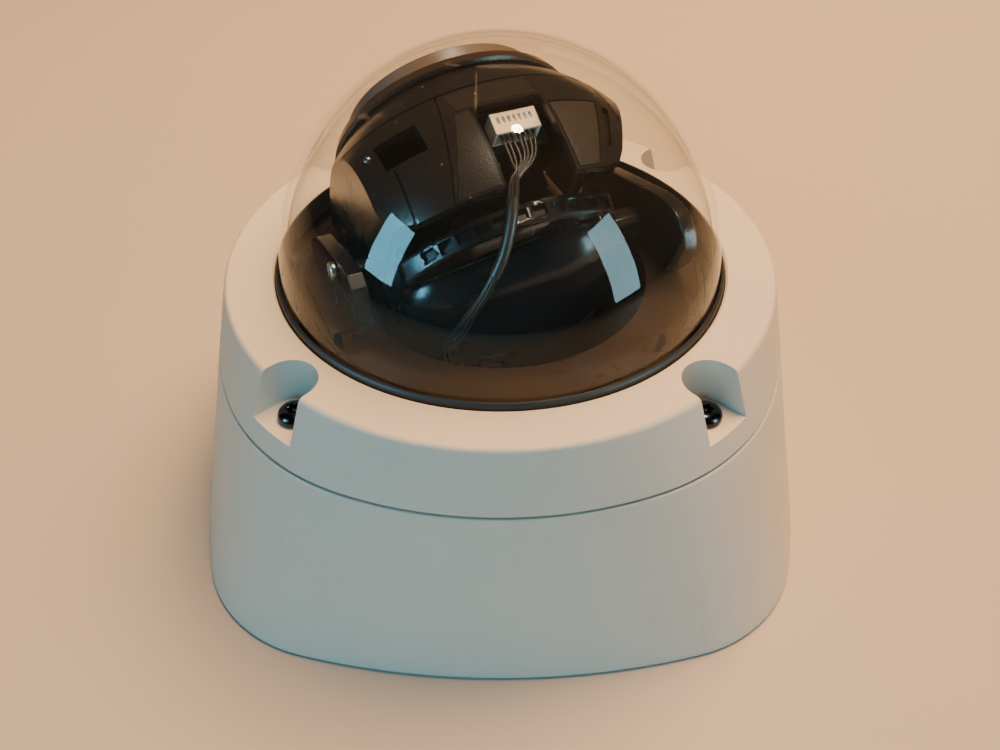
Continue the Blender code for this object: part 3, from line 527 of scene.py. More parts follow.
PAINT = powder_coat()
CLEAR = dome_clear()
LENS_GLASS = coated_glass()
RUBBER = moulded("black_rubber", (0.016, 0.015, 0.015), (0.026, 0.024, 0.023), 0.52, 0.1, 0.03, 1800, 0.25)
BLACK = moulded("black_moulding", (0.0085, 0.009, 0.010), (0.013, 0.0135, 0.0145), 0.25, 0.04, 0, marks=0.02)
BLACK_GRAINED = moulded(
    "black_grained_moulding", (0.012, 0.0115, 0.011), (0.020, 0.019, 0.018), 0.34, 0.06, 0.05, 2400
)
SATIN = moulded("satin_rim_moulding", (0.024, 0.018, 0.015), (0.030, 0.023, 0.019), 0.30, 0.05, 0, marks=0.02)
HOOD = moulded("hood_moulding", (0.118, 0.106, 0.102), (0.142, 0.130, 0.126), 0.36, 0.06, 0, marks=0.02)
WHITE = moulded("white_nylon", (0.74, 0.71, 0.64), (0.66, 0.63, 0.56), 0.38, 0.06, 0.01)
GREEN = moulded("green_terminal_moulding", (0.035, 0.28, 0.09), (0.05, 0.34, 0.12), 0.42)
GREY_PANEL = moulded("grey_label_stock", (0.022, 0.024, 0.026), (0.030, 0.032, 0.034), 0.30, 0.05, 0.003)
WIRE = moulded("wire_insulation", (0.018, 0.017, 0.017), (0.030, 0.029, 0.028), 0.34, 0.06, 0.01)
SLEEVE = moulded("heatshrink_sleeve", (0.020, 0.020, 0.020), (0.030, 0.029, 0.029), 0.42, 0.06, 0.02)
CHIP = moulded("chip_moulding", (0.020, 0.020, 0.021), (0.032, 0.031, 0.031), 0.48, 0.05, 0.015)
PCB = circuit("green_solder_mask", (0.010, 0.085, 0.035))
PCB_DARK = circuit("dark_solder_mask", (0.008, 0.022, 0.018))
STEEL = metal("zinc_plated_steel", (0.66, 0.65, 0.62), (0.44, 0.43, 0.40), 0.30)
NICKEL = metal("nickel_plate", (0.58, 0.57, 0.54), (0.42, 0.41, 0.38), 0.26, 600, (1, 0.2, 1))
BLACK_STEEL = metal("black_oxide_steel", (0.060, 0.058, 0.060), (0.030, 0.028, 0.028), 0.20)
GOLD = metal("gold_contacts", (0.86, 0.62, 0.26), (0.70, 0.48, 0.20), 0.25)
FILTER = filter_glass()


# ---------------- housing and cover

def outline_radius(outline, angle):
    """Distance from the axis to a soft square of four side arcs and four corner arcs."""
    half, side, corner = outline
    offset = side - half
    reach = side - corner
    centre = (-offset + math.sqrt(max(2 * reach**2 - offset**2, 0))) / 2
    joint = math.atan2(centre, centre + offset)
    joint = math.atan2(side * math.sin(joint), side * math.cos(joint) - offset)
    angle = abs((angle + math.pi / 4) % (math.pi / 2) - math.pi / 4)
    at, radius = ((-offset, 0), side) if angle < joint else ((centre, centre), corner)
    along = at[0] * math.cos(angle) + at[1] * math.sin(angle)
    return along + math.sqrt(radius**2 - at[0] ** 2 - at[1] ** 2 + along**2)


def housing_ring(z, inset=0, at_z=None):
    face = (FACE_RADIUS, FACE_RADIUS, FACE_RADIUS)
    if z < PARTING_Z:
        low, high, share = FOOT_OUTLINE, PARTING_OUTLINE, z / PARTING_Z
    else:
        low, high, share = PARTING_OUTLINE, face, (z - PARTING_Z) / (FACE_Z - PARTING_Z)
    ring = []
    for i in range(RING_STEPS):
        angle = 2 * math.pi * (i + 0.5) / RING_STEPS
        radius = outline_radius(low, angle) * (1 - share) + outline_radius(high, angle) * share - inset
        ring.append((radius * math.cos(angle), radius * math.sin(angle), z if at_z is None else at_z))
    return ring


def housing_body(levels):
    return made(loft, [housing_ring(*level) for level in levels])


def rods(radius, low, high, places, steps=24):
    bm = bmesh.new()
    for at in places:
        rod(bm, radius, low, high, at, steps)
    return solid(bm)


def notches(extra, low, high):
    """Round-ended pockets on the four diagonals, open to the outside."""
    cutters = []
    for angle in CORNERS:
        radius = NOTCH_RADIUS + extra
        flare = radius + 0.9
        outline = [(24, -flare), (24, flare)] + arc(radius, 90, 270, 28)
        place = rotation(angle, "Z") @ Matrix.Translation((NOTCH_CENTRE, 0, 0))
        cutters.append(bar(outline, low, high, place=place))
    return cutters


def make_housing():
    walls = [(z, 0) for z in (1.6, 6, 12, 18, 24, 30, 36, 41)]
    foot = [(0, 1.3), (0.1, 0.85), (0.35, 0.42), (0.8, 0.1)]
    rim = [(PARTING_Z - 0.85, 0), (PARTING_Z - 0.5, 0.05), (PARTING_Z - 0.32, 0.2), (PARTING_Z - 0.25, 0.45)]
    base = housing_body(foot + walls + rim)
    fillet = [(FLOOR, WALL + 1.5), (FLOOR + 0.5, WALL + 0.5), (FLOOR + 1.6, WALL)]
    inside = housing_body(fillet + [(PARTING_Z + 2, WALL)])
    webs = bmesh.new()
    for angle in CORNERS:
        block(webs, (NOTCH_CENTRE, -2, 24), (92, 2, 60), rotation(angle, "Z"))
    posts = rods(3.2, 0, 8.7, BOARD_SCREWS)
    boolean(inside, [rods(5, 24, 60, COVER_SCREWS, 32), solid(webs), posts])
    holes = bmesh.new()
    for at in COVER_SCREWS:
        rod(holes, 2.35, 30, 60, at)
    for at in BOARD_SCREWS:
        rod(holes, 1.55, 5, 20, at)
    for at in MOUNTING_HOLES:
        turned(holes, [(4.4, -1), (3.9, 0), (2.7, 1.2), (2.7, 8)], 28, at)
    rod(holes, 9.5, -2, 8, CABLE_HOLE, 48)
    for at in LEGS:
        rod(holes, 3.6, FLOOR - 0.8, 9, at)
    groove = housing_body([(43.3, 1.25), (PARTING_Z + 1, 1.25)])
    boolean(groove, [housing_body([(42, 3.25), (PARTING_Z + 2, 3.25)])])
    slope = math.degrees(math.atan2(FOOT_OUTLINE[0] - PARTING_OUTLINE[0], PARTING_Z))
    share = CONDUIT_Z / PARTING_Z
    wall_y = FOOT_OUTLINE[0] * (1 - share) + PARTING_OUTLINE[0] * share
    seat = Matrix.Translation((0, wall_y, CONDUIT_Z)) @ rotation(slope - 90, "X")
    spot = made(rod, 14.6, -0.9, 6, steps=64, place=seat)
    hole = made(rod, CONDUIT_RADIUS + 0.3, -12, 4, steps=64, place=seat)
    boolean(base, [inside, solid(holes), groove, spot, hole])
    finish(base, "painted_housing", PAINT, "housing", "base_housing", (0.28, 2), 38)

    seal = housing_body([(43.6, 1.75), (43.75, 1.6), (44.9, 1.6), (45.1, 1.9)])
    boolean(seal, [housing_body([(42, 2.95), (PARTING_Z + 1, 2.95)])])
    finish(seal, "seal_cord", RUBBER, "housing", "cover_seal")

    plug_profile = [(CONDUIT_RADIUS - 0.8, -9)]
    for index in range(8):
        z = -8.4 + 1.05 * index
        plug_profile += [(CONDUIT_RADIUS, z), (CONDUIT_RADIUS - 0.5, z + 0.5)]
    plug_profile += [(CONDUIT_RADIUS, 0.6), (13.4, 0.6), (13.4, 1.3), (13.2, 1.7), (12.6, 2)]
    plug = made(turned, plug_profile, 72, place=seat)
    boolean(plug, [box((-8, -1.1, 0.8), (8, 1.1, 6), seat)])
    finish(plug, "slotted_plug", NICKEL, "housing", "conduit_plug", (0.12, 2), 30)
    washer = [(10.95, -0.6), (13.1, -0.6), (13.2, -0.4), (13.2, 0.1), (13.1, 0.3), (10.95, 0.3)]
    washer = made(lathe, washer, 72, place=seat)
    finish(washer, "plug_washer", RUBBER, "housing", "conduit_seal", None, 50)

    sleeve = [(5, 0.6), (5.3, 0.4), (9.1, 0.4), (9.1, FLOOR + 0.4), (11.2, FLOOR + 0.4), (11.5, FLOOR + 0.7)]
    lip = [(11.2, FLOOR + 1.8), (10.7, FLOOR + 2.2), (6, FLOOR + 2.2), (5.3, FLOOR + 2), (5, FLOOR + 1.4)]
    grommet = made(lathe, sleeve + lip, 64, CABLE_HOLE)
    finish(grommet, "rubber_grommet", RUBBER, "housing", "cable_grommet", None, 50)


def make_cover():
    low = PARTING_Z + PARTING_GAP / 2
    skirt = [(low, 0.45), (low + 0.07, 0.2), (low + 0.25, 0.05), (low + 0.6, 0)]
    side = [(z, 0) for z in (48, 51, 54, 57, FACE_Z - 1.3)]
    rounding = []
    for degrees in (15, 35, 55, 75, 90):
        angle = math.radians(degrees)
        rounding.append((FACE_Z - 1 + math.sin(angle), 0.9 * (1 - math.cos(angle))))
    cover = housing_body(skirt + side + rounding)
    plate = FACE_Z - COVER_PLATE
    inside = housing_body([(low, COVER_WALL + 1.5, low - 3), (low + 1.5, COVER_WALL), (plate, COVER_WALL)])
    bosses = rods(3, 54.9, 70, RETAINER_SCREWS, 28)
    boolean(inside, notches(NOTCH_WALL, 30, 70) + [bosses])
    opening = [(OPENING_RADIUS, 40), (OPENING_RADIUS, FACE_Z - 0.5), (OPENING_RADIUS + 1.5, FACE_Z + 1)]
    opening = made(turned, opening, 160)
    threads = bmesh.new()
    for at in COVER_SCREWS:
        rod(threads, 2.35, 40, 60, at, 28)
    for at in RETAINER_SCREWS:
        rod(threads, 1.55, 50, 59.5, at, 20)
    boolean(cover, [inside, opening] + notches(0, NOTCH_FLOOR_Z, 70) + [solid(threads)])
    finish(cover, "painted_cover", PAINT, "cover", "cover_ring", (0.30, 3), 34)

    flange = [(DOME_INNER, 54.6), (56.5, 54.6), (56.7, 54.8), (56.7, 56.7), (56.5, 56.9), (52.9, 56.9)]
    flange.append((DOME_OUTER, 57.5))
    outer = [(r, DOME_Z + z) for r, z in arc(DOME_OUTER, 0, 89.95, 56)]
    inner = [(r, DOME_Z + z) for r, z in arc(DOME_INNER, 89.95, 0, 56)]
    dome = made(lathe, flange + outer + inner, 160)
    boolean(dome, notches(NOTCH_WALL + 0.3, 40, 58.3))
    finish(dome, "clear_bubble", CLEAR, "cover", "dome_bubble", None, 30)

    bore, seat = DOME_OUTER + 0.3, OPENING_RADIUS - 0.3
    foot = [(bore, 57.2), (56.7, 57.2), (56.7, 58.1), (seat, 58.1)]
    lip = [(seat, 62), (seat - 0.1, 62.35), (seat - 0.35, 62.65), (bore + 0.25, 62.85), (bore, 62.8)]
    gasket = made(lathe, foot + lip, 160)
    boolean(gasket, notches(NOTCH_WALL + 0.3, 40, 58.3))
    finish(gasket, "gasket_lip", RUBBER, "cover", "dome_gasket", None, 50)

    ring = [(49.9, 52.2), (63.3, 52.2), (63.3, 54.3), (49.9, 54.3)]
    retainer = made(lathe, ring, 144)
    relief = bmesh.new()
    for index in range(24):
        if index % 3:
            block(relief, (52.4, -4.6, 50), (60.6, 4.6, 53.1), rotation(15 * index, "Z"))
    holes = rods(1.6, 50, 56, RETAINER_SCREWS, 24)
    boolean(retainer, notches(NOTCH_WALL + 0.3, 40, 58.3) + [solid(relief), holes])
    finish(retainer, "clamp_ring", BLACK_GRAINED, "cover", "dome_retainer", (0.2, 2))

    pan_head = [(1.25, 58.8), (1.25, 51.9), (2.4, 51.9), (2.4, 51), (2.2, 50.5), (1.8, 50.2)]
    for index, at in enumerate(RETAINER_SCREWS, 1):
        cross_screw(f"pan_head_screw_{index}", pan_head, at, 50.2, -1, "cover", f"retainer_screw_{index}")
    for index, at in enumerate(COVER_SCREWS, 1):
        security_screw(index, at)


def cross_screw(name, levels, at, face, outwards, body, node, place=HERE):
    """A small screw with a cross recess in its head."""
    screw = made(turned, levels, 32, at, place=place)
    low, high = sorted((face - outwards * RECESS_DEPTH, face + outwards))
    wings = []
    for x, y in ((1.25, 0.22), (0.22, 1.25)):
        wings.append(box((at[0] - x, at[1] - y, low), (at[0] + x, at[1] + y, high), place))
    boolean(screw, wings)
    finish(screw, name, STEEL, body, node, (0.06, 2), 28)


def security_screw(index, at):
    """A button head with a six-lobed recess and its centre pin."""
    thread = [(1.5, 33)]
    for step in range(20):
        z = 33.3 + 0.7 * step
        thread += [(2, z), (1.72, z + 0.35)]
    head = [(2, 48), (2, 51), (3.65, 51), (3.8, 51.15), (3.78, 51.7), (3.62, 52.2), (3.25, 52.65)]
    head += [(2.7, 52.98), (2.1, 53.15), (1.9, 53.2)]
    screw = made(turned, thread + head, 48, at)
    lobes = []
    for step in range(48):
        degrees = 360 * step / 48
        x, y = polar(1.52 + 0.26 * math.cos(math.radians(6 * degrees)), degrees)
        lobes.append((at[0] + x, at[1] + y))
    recess = bar(lobes, 51.7, 54)
    boolean(recess, [made(turned, [(0.5, 50), (0.5, 52.7), (0.35, 52.95), (0.1, 53)], 20, at)])
    boolean(screw, [recess])
    finish(screw, f"security_screw_{index}", BLACK_STEEL, "cover", f"cover_screw_{index}", (0.05, 2), 30)


# ---------------- gimbal

def make_bowl():
    bowl_outer = BOWL_INNER + BOWL_WALL
    hub = -BOWL_INNER - 0.2
    first = -math.degrees(math.asin(7.6 / bowl_outer))
    outside = arc(bowl_outer, first, -75, 30)
    inside = arc(BOWL_INNER, -75, -math.degrees(math.asin(6 / BOWL_INNER)), 30)
    rim = [(RING_INNER, RING_TOP - 0.5), (RING_INNER + 0.15, RING_TOP - 0.15), (RING_INNER + 0.5, RING_TOP)]
    rim += [(46.6, RING_TOP), (46.8, RING_TOP - 0.25), (47.3, RING_TOP - 0.25), (47.5, RING_TOP)]
    rim += [(RING_OUTER - 0.5, RING_TOP), (RING_OUTER - 0.15, RING_TOP - 0.15), (RING_OUTER, RING_TOP - 0.5)]
    neck = [(9, outside[-1][1]), (9, hub - 6.3), (6.4, hub - 6.3), (6.4, inside[0][1])]
    profile = rim + [(RING_OUTER, -7.6)] + outside + neck + inside + [(RING_INNER, -6)]
    bowl = made(lathe, profile, 160, place=PAN)
    finish(bowl, "turning_bowl", SATIN, "pan_unit", "pan_bowl", None, 34)
    # The faces inside the ring and below its top take the black moulding: painted shade down in the deep
    # bowl, which is moulded in the same satin as its rim.
    bowl.data.materials.append(BLACK)
    axis = Vector((0, 0, DOME_Z * MM))
    for face in bowl.data.polygons:
        from_axis = face.center - axis
        across = math.hypot(from_axis.x, from_axis.y) / MM
        if across < RING_INNER + 0.12 and from_axis.z < (RING_TOP - 0.3) * MM:
            face.material_index = 1

    foot = RING_TOP + 0.3
    front = [(24, foot), (23, 1), (16, 6)]
    backs = {
        "right": [(-9, 13), (-14, 13.6), (-18.5, 12.6), (-22, 9.6), (-23.2, 6), (-21, 0.5), (-17, foot)],
        "left": [(-6, 12.2), (-10, 12.4), (-13, 10.6), (-14.2, 7), (-13.6, 1), (-10, foot)],
    }
    for side, name in ((1, "right"), (-1, "left")):
        low, high = span(side, ARM_INSIDE, ARM_OUTSIDE)
        arm = bar(front + backs[name], low, high, "X", PAN)
        toe = span(side, ARM_INSIDE + 1, 45)
        toe = box((toe[0], -9, foot), (toe[1], 13, foot + 1.6), PAN)
        boolean(arm, [toe], "UNION")
        low, high = span(side, ARM_INSIDE - 3, ARM_OUTSIDE - 0.7)
        cutters = [bar(circle(2, 32), low, high, "X", PAN)]
        if name == "left":
            slot = arc(LOCK_ARC + 1.5, 83, 167, 28) + list(reversed(arc(LOCK_ARC - 1.5, 83, 167, 28)))
            cutters.append(bar(slot, -ARM_OUTSIDE - 8, 3 - ARM_INSIDE, "X", PAN))
        else:
            groove = capsule((2.6, 4.2), (-10.1, 4.8), 0.65, 12)
            cutters.append(bar(groove, ARM_OUTSIDE - 1.4, ARM_OUTSIDE + 8, "X", PAN))
        boolean(arm, cutters)
        finish(arm, f"moulded_arm_{name}", BLACK, "pan_unit", f"yoke_arm_{name}", (0.45, 3), 32)
    # The groove's floor is filled with a strip of the lighter satin moulding: a painted highlight that stands
    # for the lit side of the groove on the black arm.
    bed = capsule((2.6, 4.2), (-10.1, 4.8), 0.6, 12)
    bed = bar(bed, ARM_OUTSIDE - 1.45, ARM_OUTSIDE - 0.5, "X", PAN)
    finish(bed, "groove_painted_highlight", SATIN, "pan_unit")


def shell_plan(inset, front):
    left = -BALL_HALF_WIDTH + inset
    rear = BALL_REAR - 1.4 * inset
    corner = 8 - inset
    rear_left = arc(corner, 180, 270, 18, (left + corner, rear + corner))
    taper = [(14 - 0.4 * inset, rear), (18 - inset, rear + 1.3), (20 - inset, BALL_REAR + 4)]
    side = [(27 - inset, 13.5), (28.5 - inset, 17), (28.5 - inset, front), (left, front)]
    return rear_left + taper + side


def ball(radius, around=128, along=64):
    bm = bmesh.new()
    bmesh.ops.create_uvsphere(bm, u_segments=around, v_segments=along, radius=radius)
    quarter = Matrix.Rotation(math.radians(90), 3, "X")
    bmesh.ops.rotate(bm, verts=bm.verts, cent=(0, 0, 0), matrix=quarter)
    return solid(bm, TILT)


def skin(outer, inner, outline):
    """The part of a thin spherical layer that lies over an outline, seen along the tilt frame's Z."""
    layer = ball(outer)
    boolean(layer, [ball(inner)])
    boolean(layer, [bar(outline, 5, 60, place=TILT)], "INTERSECT")
    return layer


def make_shell():
    """The front half of the camera ball, with its windows, label panel, slot, seams and grained pads."""
    shell = ball(BALL_RADIUS)
    boolean(shell, [bar(shell_plan(0, BALL_FRONT), -60, 60, place=TILT)], "INTERSECT")
    hollow = ball(BALL_RADIUS - 2.2, 96, 48)
    boolean(hollow, [bar(shell_plan(2.2, 60), -61, 61, place=TILT)], "INTERSECT")
    boolean(shell, [box(*BELOW_RIM, PAN), hollow])
    windows = bmesh.new()
    block(windows, (-9, -20, 30), (6.5, 17, 60))
    block(windows, (-28.5, 11, 20), (-20, 19, 60))
    block(windows, (-60, -30, -60), (-15, 8.5, 12))
    block(windows, (15, -30, -60), (60, 11.8, 12))
    boolean(shell, [solid(windows, TILT)])
    label = [(7.6, 14.2), (19.4, 14.2), (12.4, -2.7), (7.6, -2.7)]
    slot = [(20.6, 12.9), (22.4, 12.6), (17.2, 1), (15.6, 1.4)]
    seams = (
        [(-34, 24.4), (34, 24.4), (34, 24.9), (-34, 24.9)],
        [(23.6, 9), (24.1, 9), (24.1, 24.4), (23.6, 24.4)],
        [(-19.9, BALL_REAR - 1), (-19.4, BALL_REAR - 1), (-13.4, 24.4), (-13.9, 24.4)],
        [(-27.4, BALL_REAR - 1), (-26.9, BALL_REAR - 1), (-26.9, 10), (-27.4, 10)],
    )
    cuts = [skin(BALL_RADIUS + 1, BALL_RADIUS - 0.45, outline) for outline in seams]
    cuts.append(skin(BALL_RADIUS + 1, BALL_RADIUS - 1.2, slot))
    cuts.append(skin(BALL_RADIUS + 1, BALL_RADIUS - 0.25, [(7.2, 14.6), (20, 14.6), (12.7, -3), (7.2, -3)]))
    boolean(shell, cuts)
    finish(shell, "ball_front_shell", BLACK, "tilt_unit", "camera_shell", (0.22, 2), 36)
    panel = skin(BALL_RADIUS - 0.05, BALL_RADIUS - 0.6, label)
    finish(panel, "label_panel", GREY_PANEL, "tilt_unit", None, (0.08, 1), 36)
    pads = {
        "front": [(-11.5, 17.8), (6.2, 17.8), (6.2, 23.6), (-12.4, 23.6)],
        "left": [(-9.6, 16.8), (-12.4, 16.8), (-18.6, -2.9), (-9.6, -2.9)],
    }
    for name, outline in pads.items():
        pad = skin(BALL_RADIUS + 0.06, BALL_RADIUS - 0.5, outline)
        finish(pad, f"grained_pad_{name}", BLACK_GRAINED, "tilt_unit", None, None, 36)
    outwards = Vector((-30.3, 17.2, 27.7)).normalized()
    turn = outwards.to_track_quat("Z", "Y").to_matrix().to_4x4()
    stud = made(turned, [(0.8, 43.4), (0.8, 44.7), (0.6, 44.95), (0.2, 45)], 24, place=TILT @ turn)
    finish(stud, "shell_stud", NICKEL, "tilt_unit", None, None, 36)
    baffle = [(14.2, 29), (22.6, 29), (22.6, 30), (14.2, 30)]
    finish(made(lathe, baffle, 96, place=LENS), "lens_baffle", BLACK, "azimuth_unit", None, None, 36)


def make_rear_frame():
    rolled = TILT @ ROLL
    outline = rounded(27, -20, 25, 8, 12)
    rear_frame = made(loft, [[(x, y, z) for x, z in outline] for y in (FRAME_FRONT, -8)], place=rolled)
    arch = ball(34.8)
    boolean(arch, [box((-29, -8, 4), (18.4, FRAME_FRONT, 60), TILT)], "INTERSECT")
    boolean(arch, [ball(32.4, 96, 48)])
    boolean(rear_frame, [arch], "UNION")
    outline = rounded(24.8, -17.8, 22.8, 5.8, 12)
    inside = made(loft, [[(x, y, z) for x, z in outline] for y in (FRAME_FRONT + 4, -12)], place=rolled)
    boolean(rear_frame, [inside])
    lock = polar(LOCK_ARC, LOCK_ANGLE)
    ears = []
    bores = []
    for side in (1, -1):
        low, high = span(side, 24.2, 27.4)
        ears.append(box((low, -7.9, -8), (high, 4.4, 8), TILT))
        low, high = span(side, 25.5, ARM_INSIDE - 0.4)
        shape = circle(4, 40) if side > 0 else capsule((0, 0), lock, 4)
        ears.append(bar(shape, low, high, "X", TILT))
        low, high = span(side, 31, 50)
        bores.append(bar(circle(1.9, 24), low, high, "X", TILT))
    bores.append(bar(circle(1.45, 24, lock), -50, -31, "X", TILT))
    for ear in ears:
        boolean(rear_frame, [ear], "UNION")
    cells = bmesh.new()
    for index in range(11):
        turn = Matrix.Rotation(math.radians(-44 + 7.2 * index), 3, "Y")
        corners = ((-1.7, 33.2), (1.7, 33.2), (1.7, 40), (-1.7, 40))
        loft(cells, [[tuple(turn @ Vector((x, y, z))) for x, z in corners] for y in (-4.9, -7.2)])
    boolean(rear_frame, bores + [solid(cells, TILT)])
    finish(rear_frame, "cell_frame", BLACK, "tilt_unit", "rear_frame", (0.2, 2), 36)


def make_rear_cover():
    rolled = TILT @ ROLL
    shape = rounded(26.6, -22, 22, 12, 14)
    rings = []
    steps = 18
    for step in range(steps + 1):
        t = step / steps
        y = -8.3 - 13.7 * t
        scale = 0.98 * math.sqrt(max(0, 1 - (t * 0.94) ** 2.3)) ** 1.15
        scale = max(scale, 0.30)
        rings.append([(x * scale, y, z * scale + 1.5) for x, z in shape])
    cover = made(loft, rings, place=rolled)
    inner_shape = rounded(24.6, -20, 20, 10, 10)
    rings = []
    for y, scale in ((-6, 0.98), (-10, 0.93), (-14, 0.80), (-17, 0.60), (-19, 0.36)):
        rings.append([(x * scale, y, z * scale + 1.5) for x, z in inner_shape])
    boolean(cover, [made(loft, rings, place=rolled)])
    finish(cover, "rear_cap", BLACK, "tilt_unit", "rear_cover", (0.3, 3))

    board = bar(rounded(19, -15, 18, 3, 6), -6.6, -5, "Y", rolled)
    finish(board, "processor_card", PCB, "tilt_unit", "processor_board", (0.1, 1))
    chips = bmesh.new()
    for left, bottom, right, face, top in ((-8, -6, 6, -3.6, 8), (9, -2, 16, -4, 6), (-15, 3, -10, -4, 12)):
        block(chips, (left, -4.98, bottom), (right, face, top))
    finish(solid(chips, rolled), "processor_chips", CHIP, "tilt_unit", None, (0.15, 2))


def make_lens_unit():
    top = HOOD_SPHERE
    first = math.degrees(math.acos(HOOD_RADIUS / top))
    last = math.degrees(math.acos(13.6 / top))
    outside = arc(top, first, last, 16)
    inside = list(reversed(arc(top - 1.7, first + 2.2, last, 16)))
    profile = [(HOOD_RADIUS - 1.6, 33.5), (HOOD_RADIUS - 0.3, 33.5), (HOOD_RADIUS, 33.8)] + outside
    profile += [(13.6, inside[0][1])] + inside[1:]
    hood = made(lathe, profile, 144, place=LENS)
    finish(hood, "smooth_hood", HOOD, "azimuth_unit", "azimuth_hood", (0.25, 3))

    collar = [(25.3, 34.3), (29.6, 34.3), (30.2, 34.9), (29.9, 35.6), (29, 37.2), (28.6, 37.2), (25.3, 37.2)]
    collar = made(lathe, collar, 144, place=LENS)
    boolean(collar, [box(*BELOW_RIM, PAN)])
    finish(collar, "hood_collar", SATIN, "tilt_unit", "azimuth_collar", (0.15, 2), 36)

    tail = [(8.4, 14.3), (13.2, 14.3), (13.2, 24.6), (12.8, 24.8), (12.8, 25.8), (13.2, 26), (13.2, 36.2)]
    nose = [(14.6, 36.8), (14.6, 39.9), (14.3, 40.2), (12.8, 40.2), (12.4, 39.8), (11.8, 39.4), (11.8, 38.9)]
    nose += [(11, 38.4), (10.2, 37.9), (9.2, 37.4), (8.4, 36.8)]
    barrel = made(lathe, tail + nose, 96, place=LENS)
    finish(barrel, "lens_tube", BLACK_GRAINED, "azimuth_unit", "lens_barrel", (0.1, 2), 30)
    glass = [(7.9, 30), (7.9, 37.2), (10.9, 38.9)]
    for step in range(1, 13):
        r = 10.9 - 10.7 * step / 12
        glass.append((r, 38.9 + 2.2 * (1 - (r / 10.9) ** 2)))
    glass = made(turned, glass, 96, place=LENS)
    finish(glass, "front_element", LENS_GLASS, "azimuth_unit", "front_lens", None, 30)

    # Height and inset of each ring of points; None marks the knurled band.
    levels = ((0, 0.3), (0.5, 0), (1, 0), (1.05, None), (4.45, None), (4.5, 0), (5, 0), (5.5, 0.3))
    for name, low in (("zoom", 18), ("focus", 27)):
        rings = []
        for z, inset in levels:
            ring = []
            for i in range(KNURL_STEPS):
                knurl = 0.38 if i % 4 in (0, 1) else 0
                x, y = polar(15.6 - (knurl if inset is None else inset), 360 * i / KNURL_STEPS)
                ring.append((x, y, low + z))
            rings.append(ring)
        ring = made(loft, rings, place=LENS)
        boolean(ring, [made(rod, 13.5, low - 1, low + 7, steps=96, place=LENS)])
        finish(ring, f"knurled_{name}_ring", SATIN, name, f"{name}_ring", None, 30)

    mount = box((-13, -13, 9), (13, 13, 14), LENS)
    bore = made(rod, 7, 6, 20, steps=64, place=LENS)
    gate = box((-30, -7.2, 7), (30, 7.2, 11.2), LENS)
    boolean(mount, [bore, gate])
    finish(mount, "sensor_mount", BLACK_GRAINED, "azimuth_unit", "lens_mount", (0.3, 2))
    board = box((-11.5, -11.5, 5.4), (11.5, 11.5, 6.8), LENS)
    finish(board, "sensor_card", PCB_DARK, "azimuth_unit", "sensor_board", (0.15, 1))
    plate = box((-8, -6.6, 9.4), (15.5, 6.6, 10.4), LENS)
    finish(plate, "filter_plate", FILTER, "filter", "ir_cut_filter", (0.1, 1))


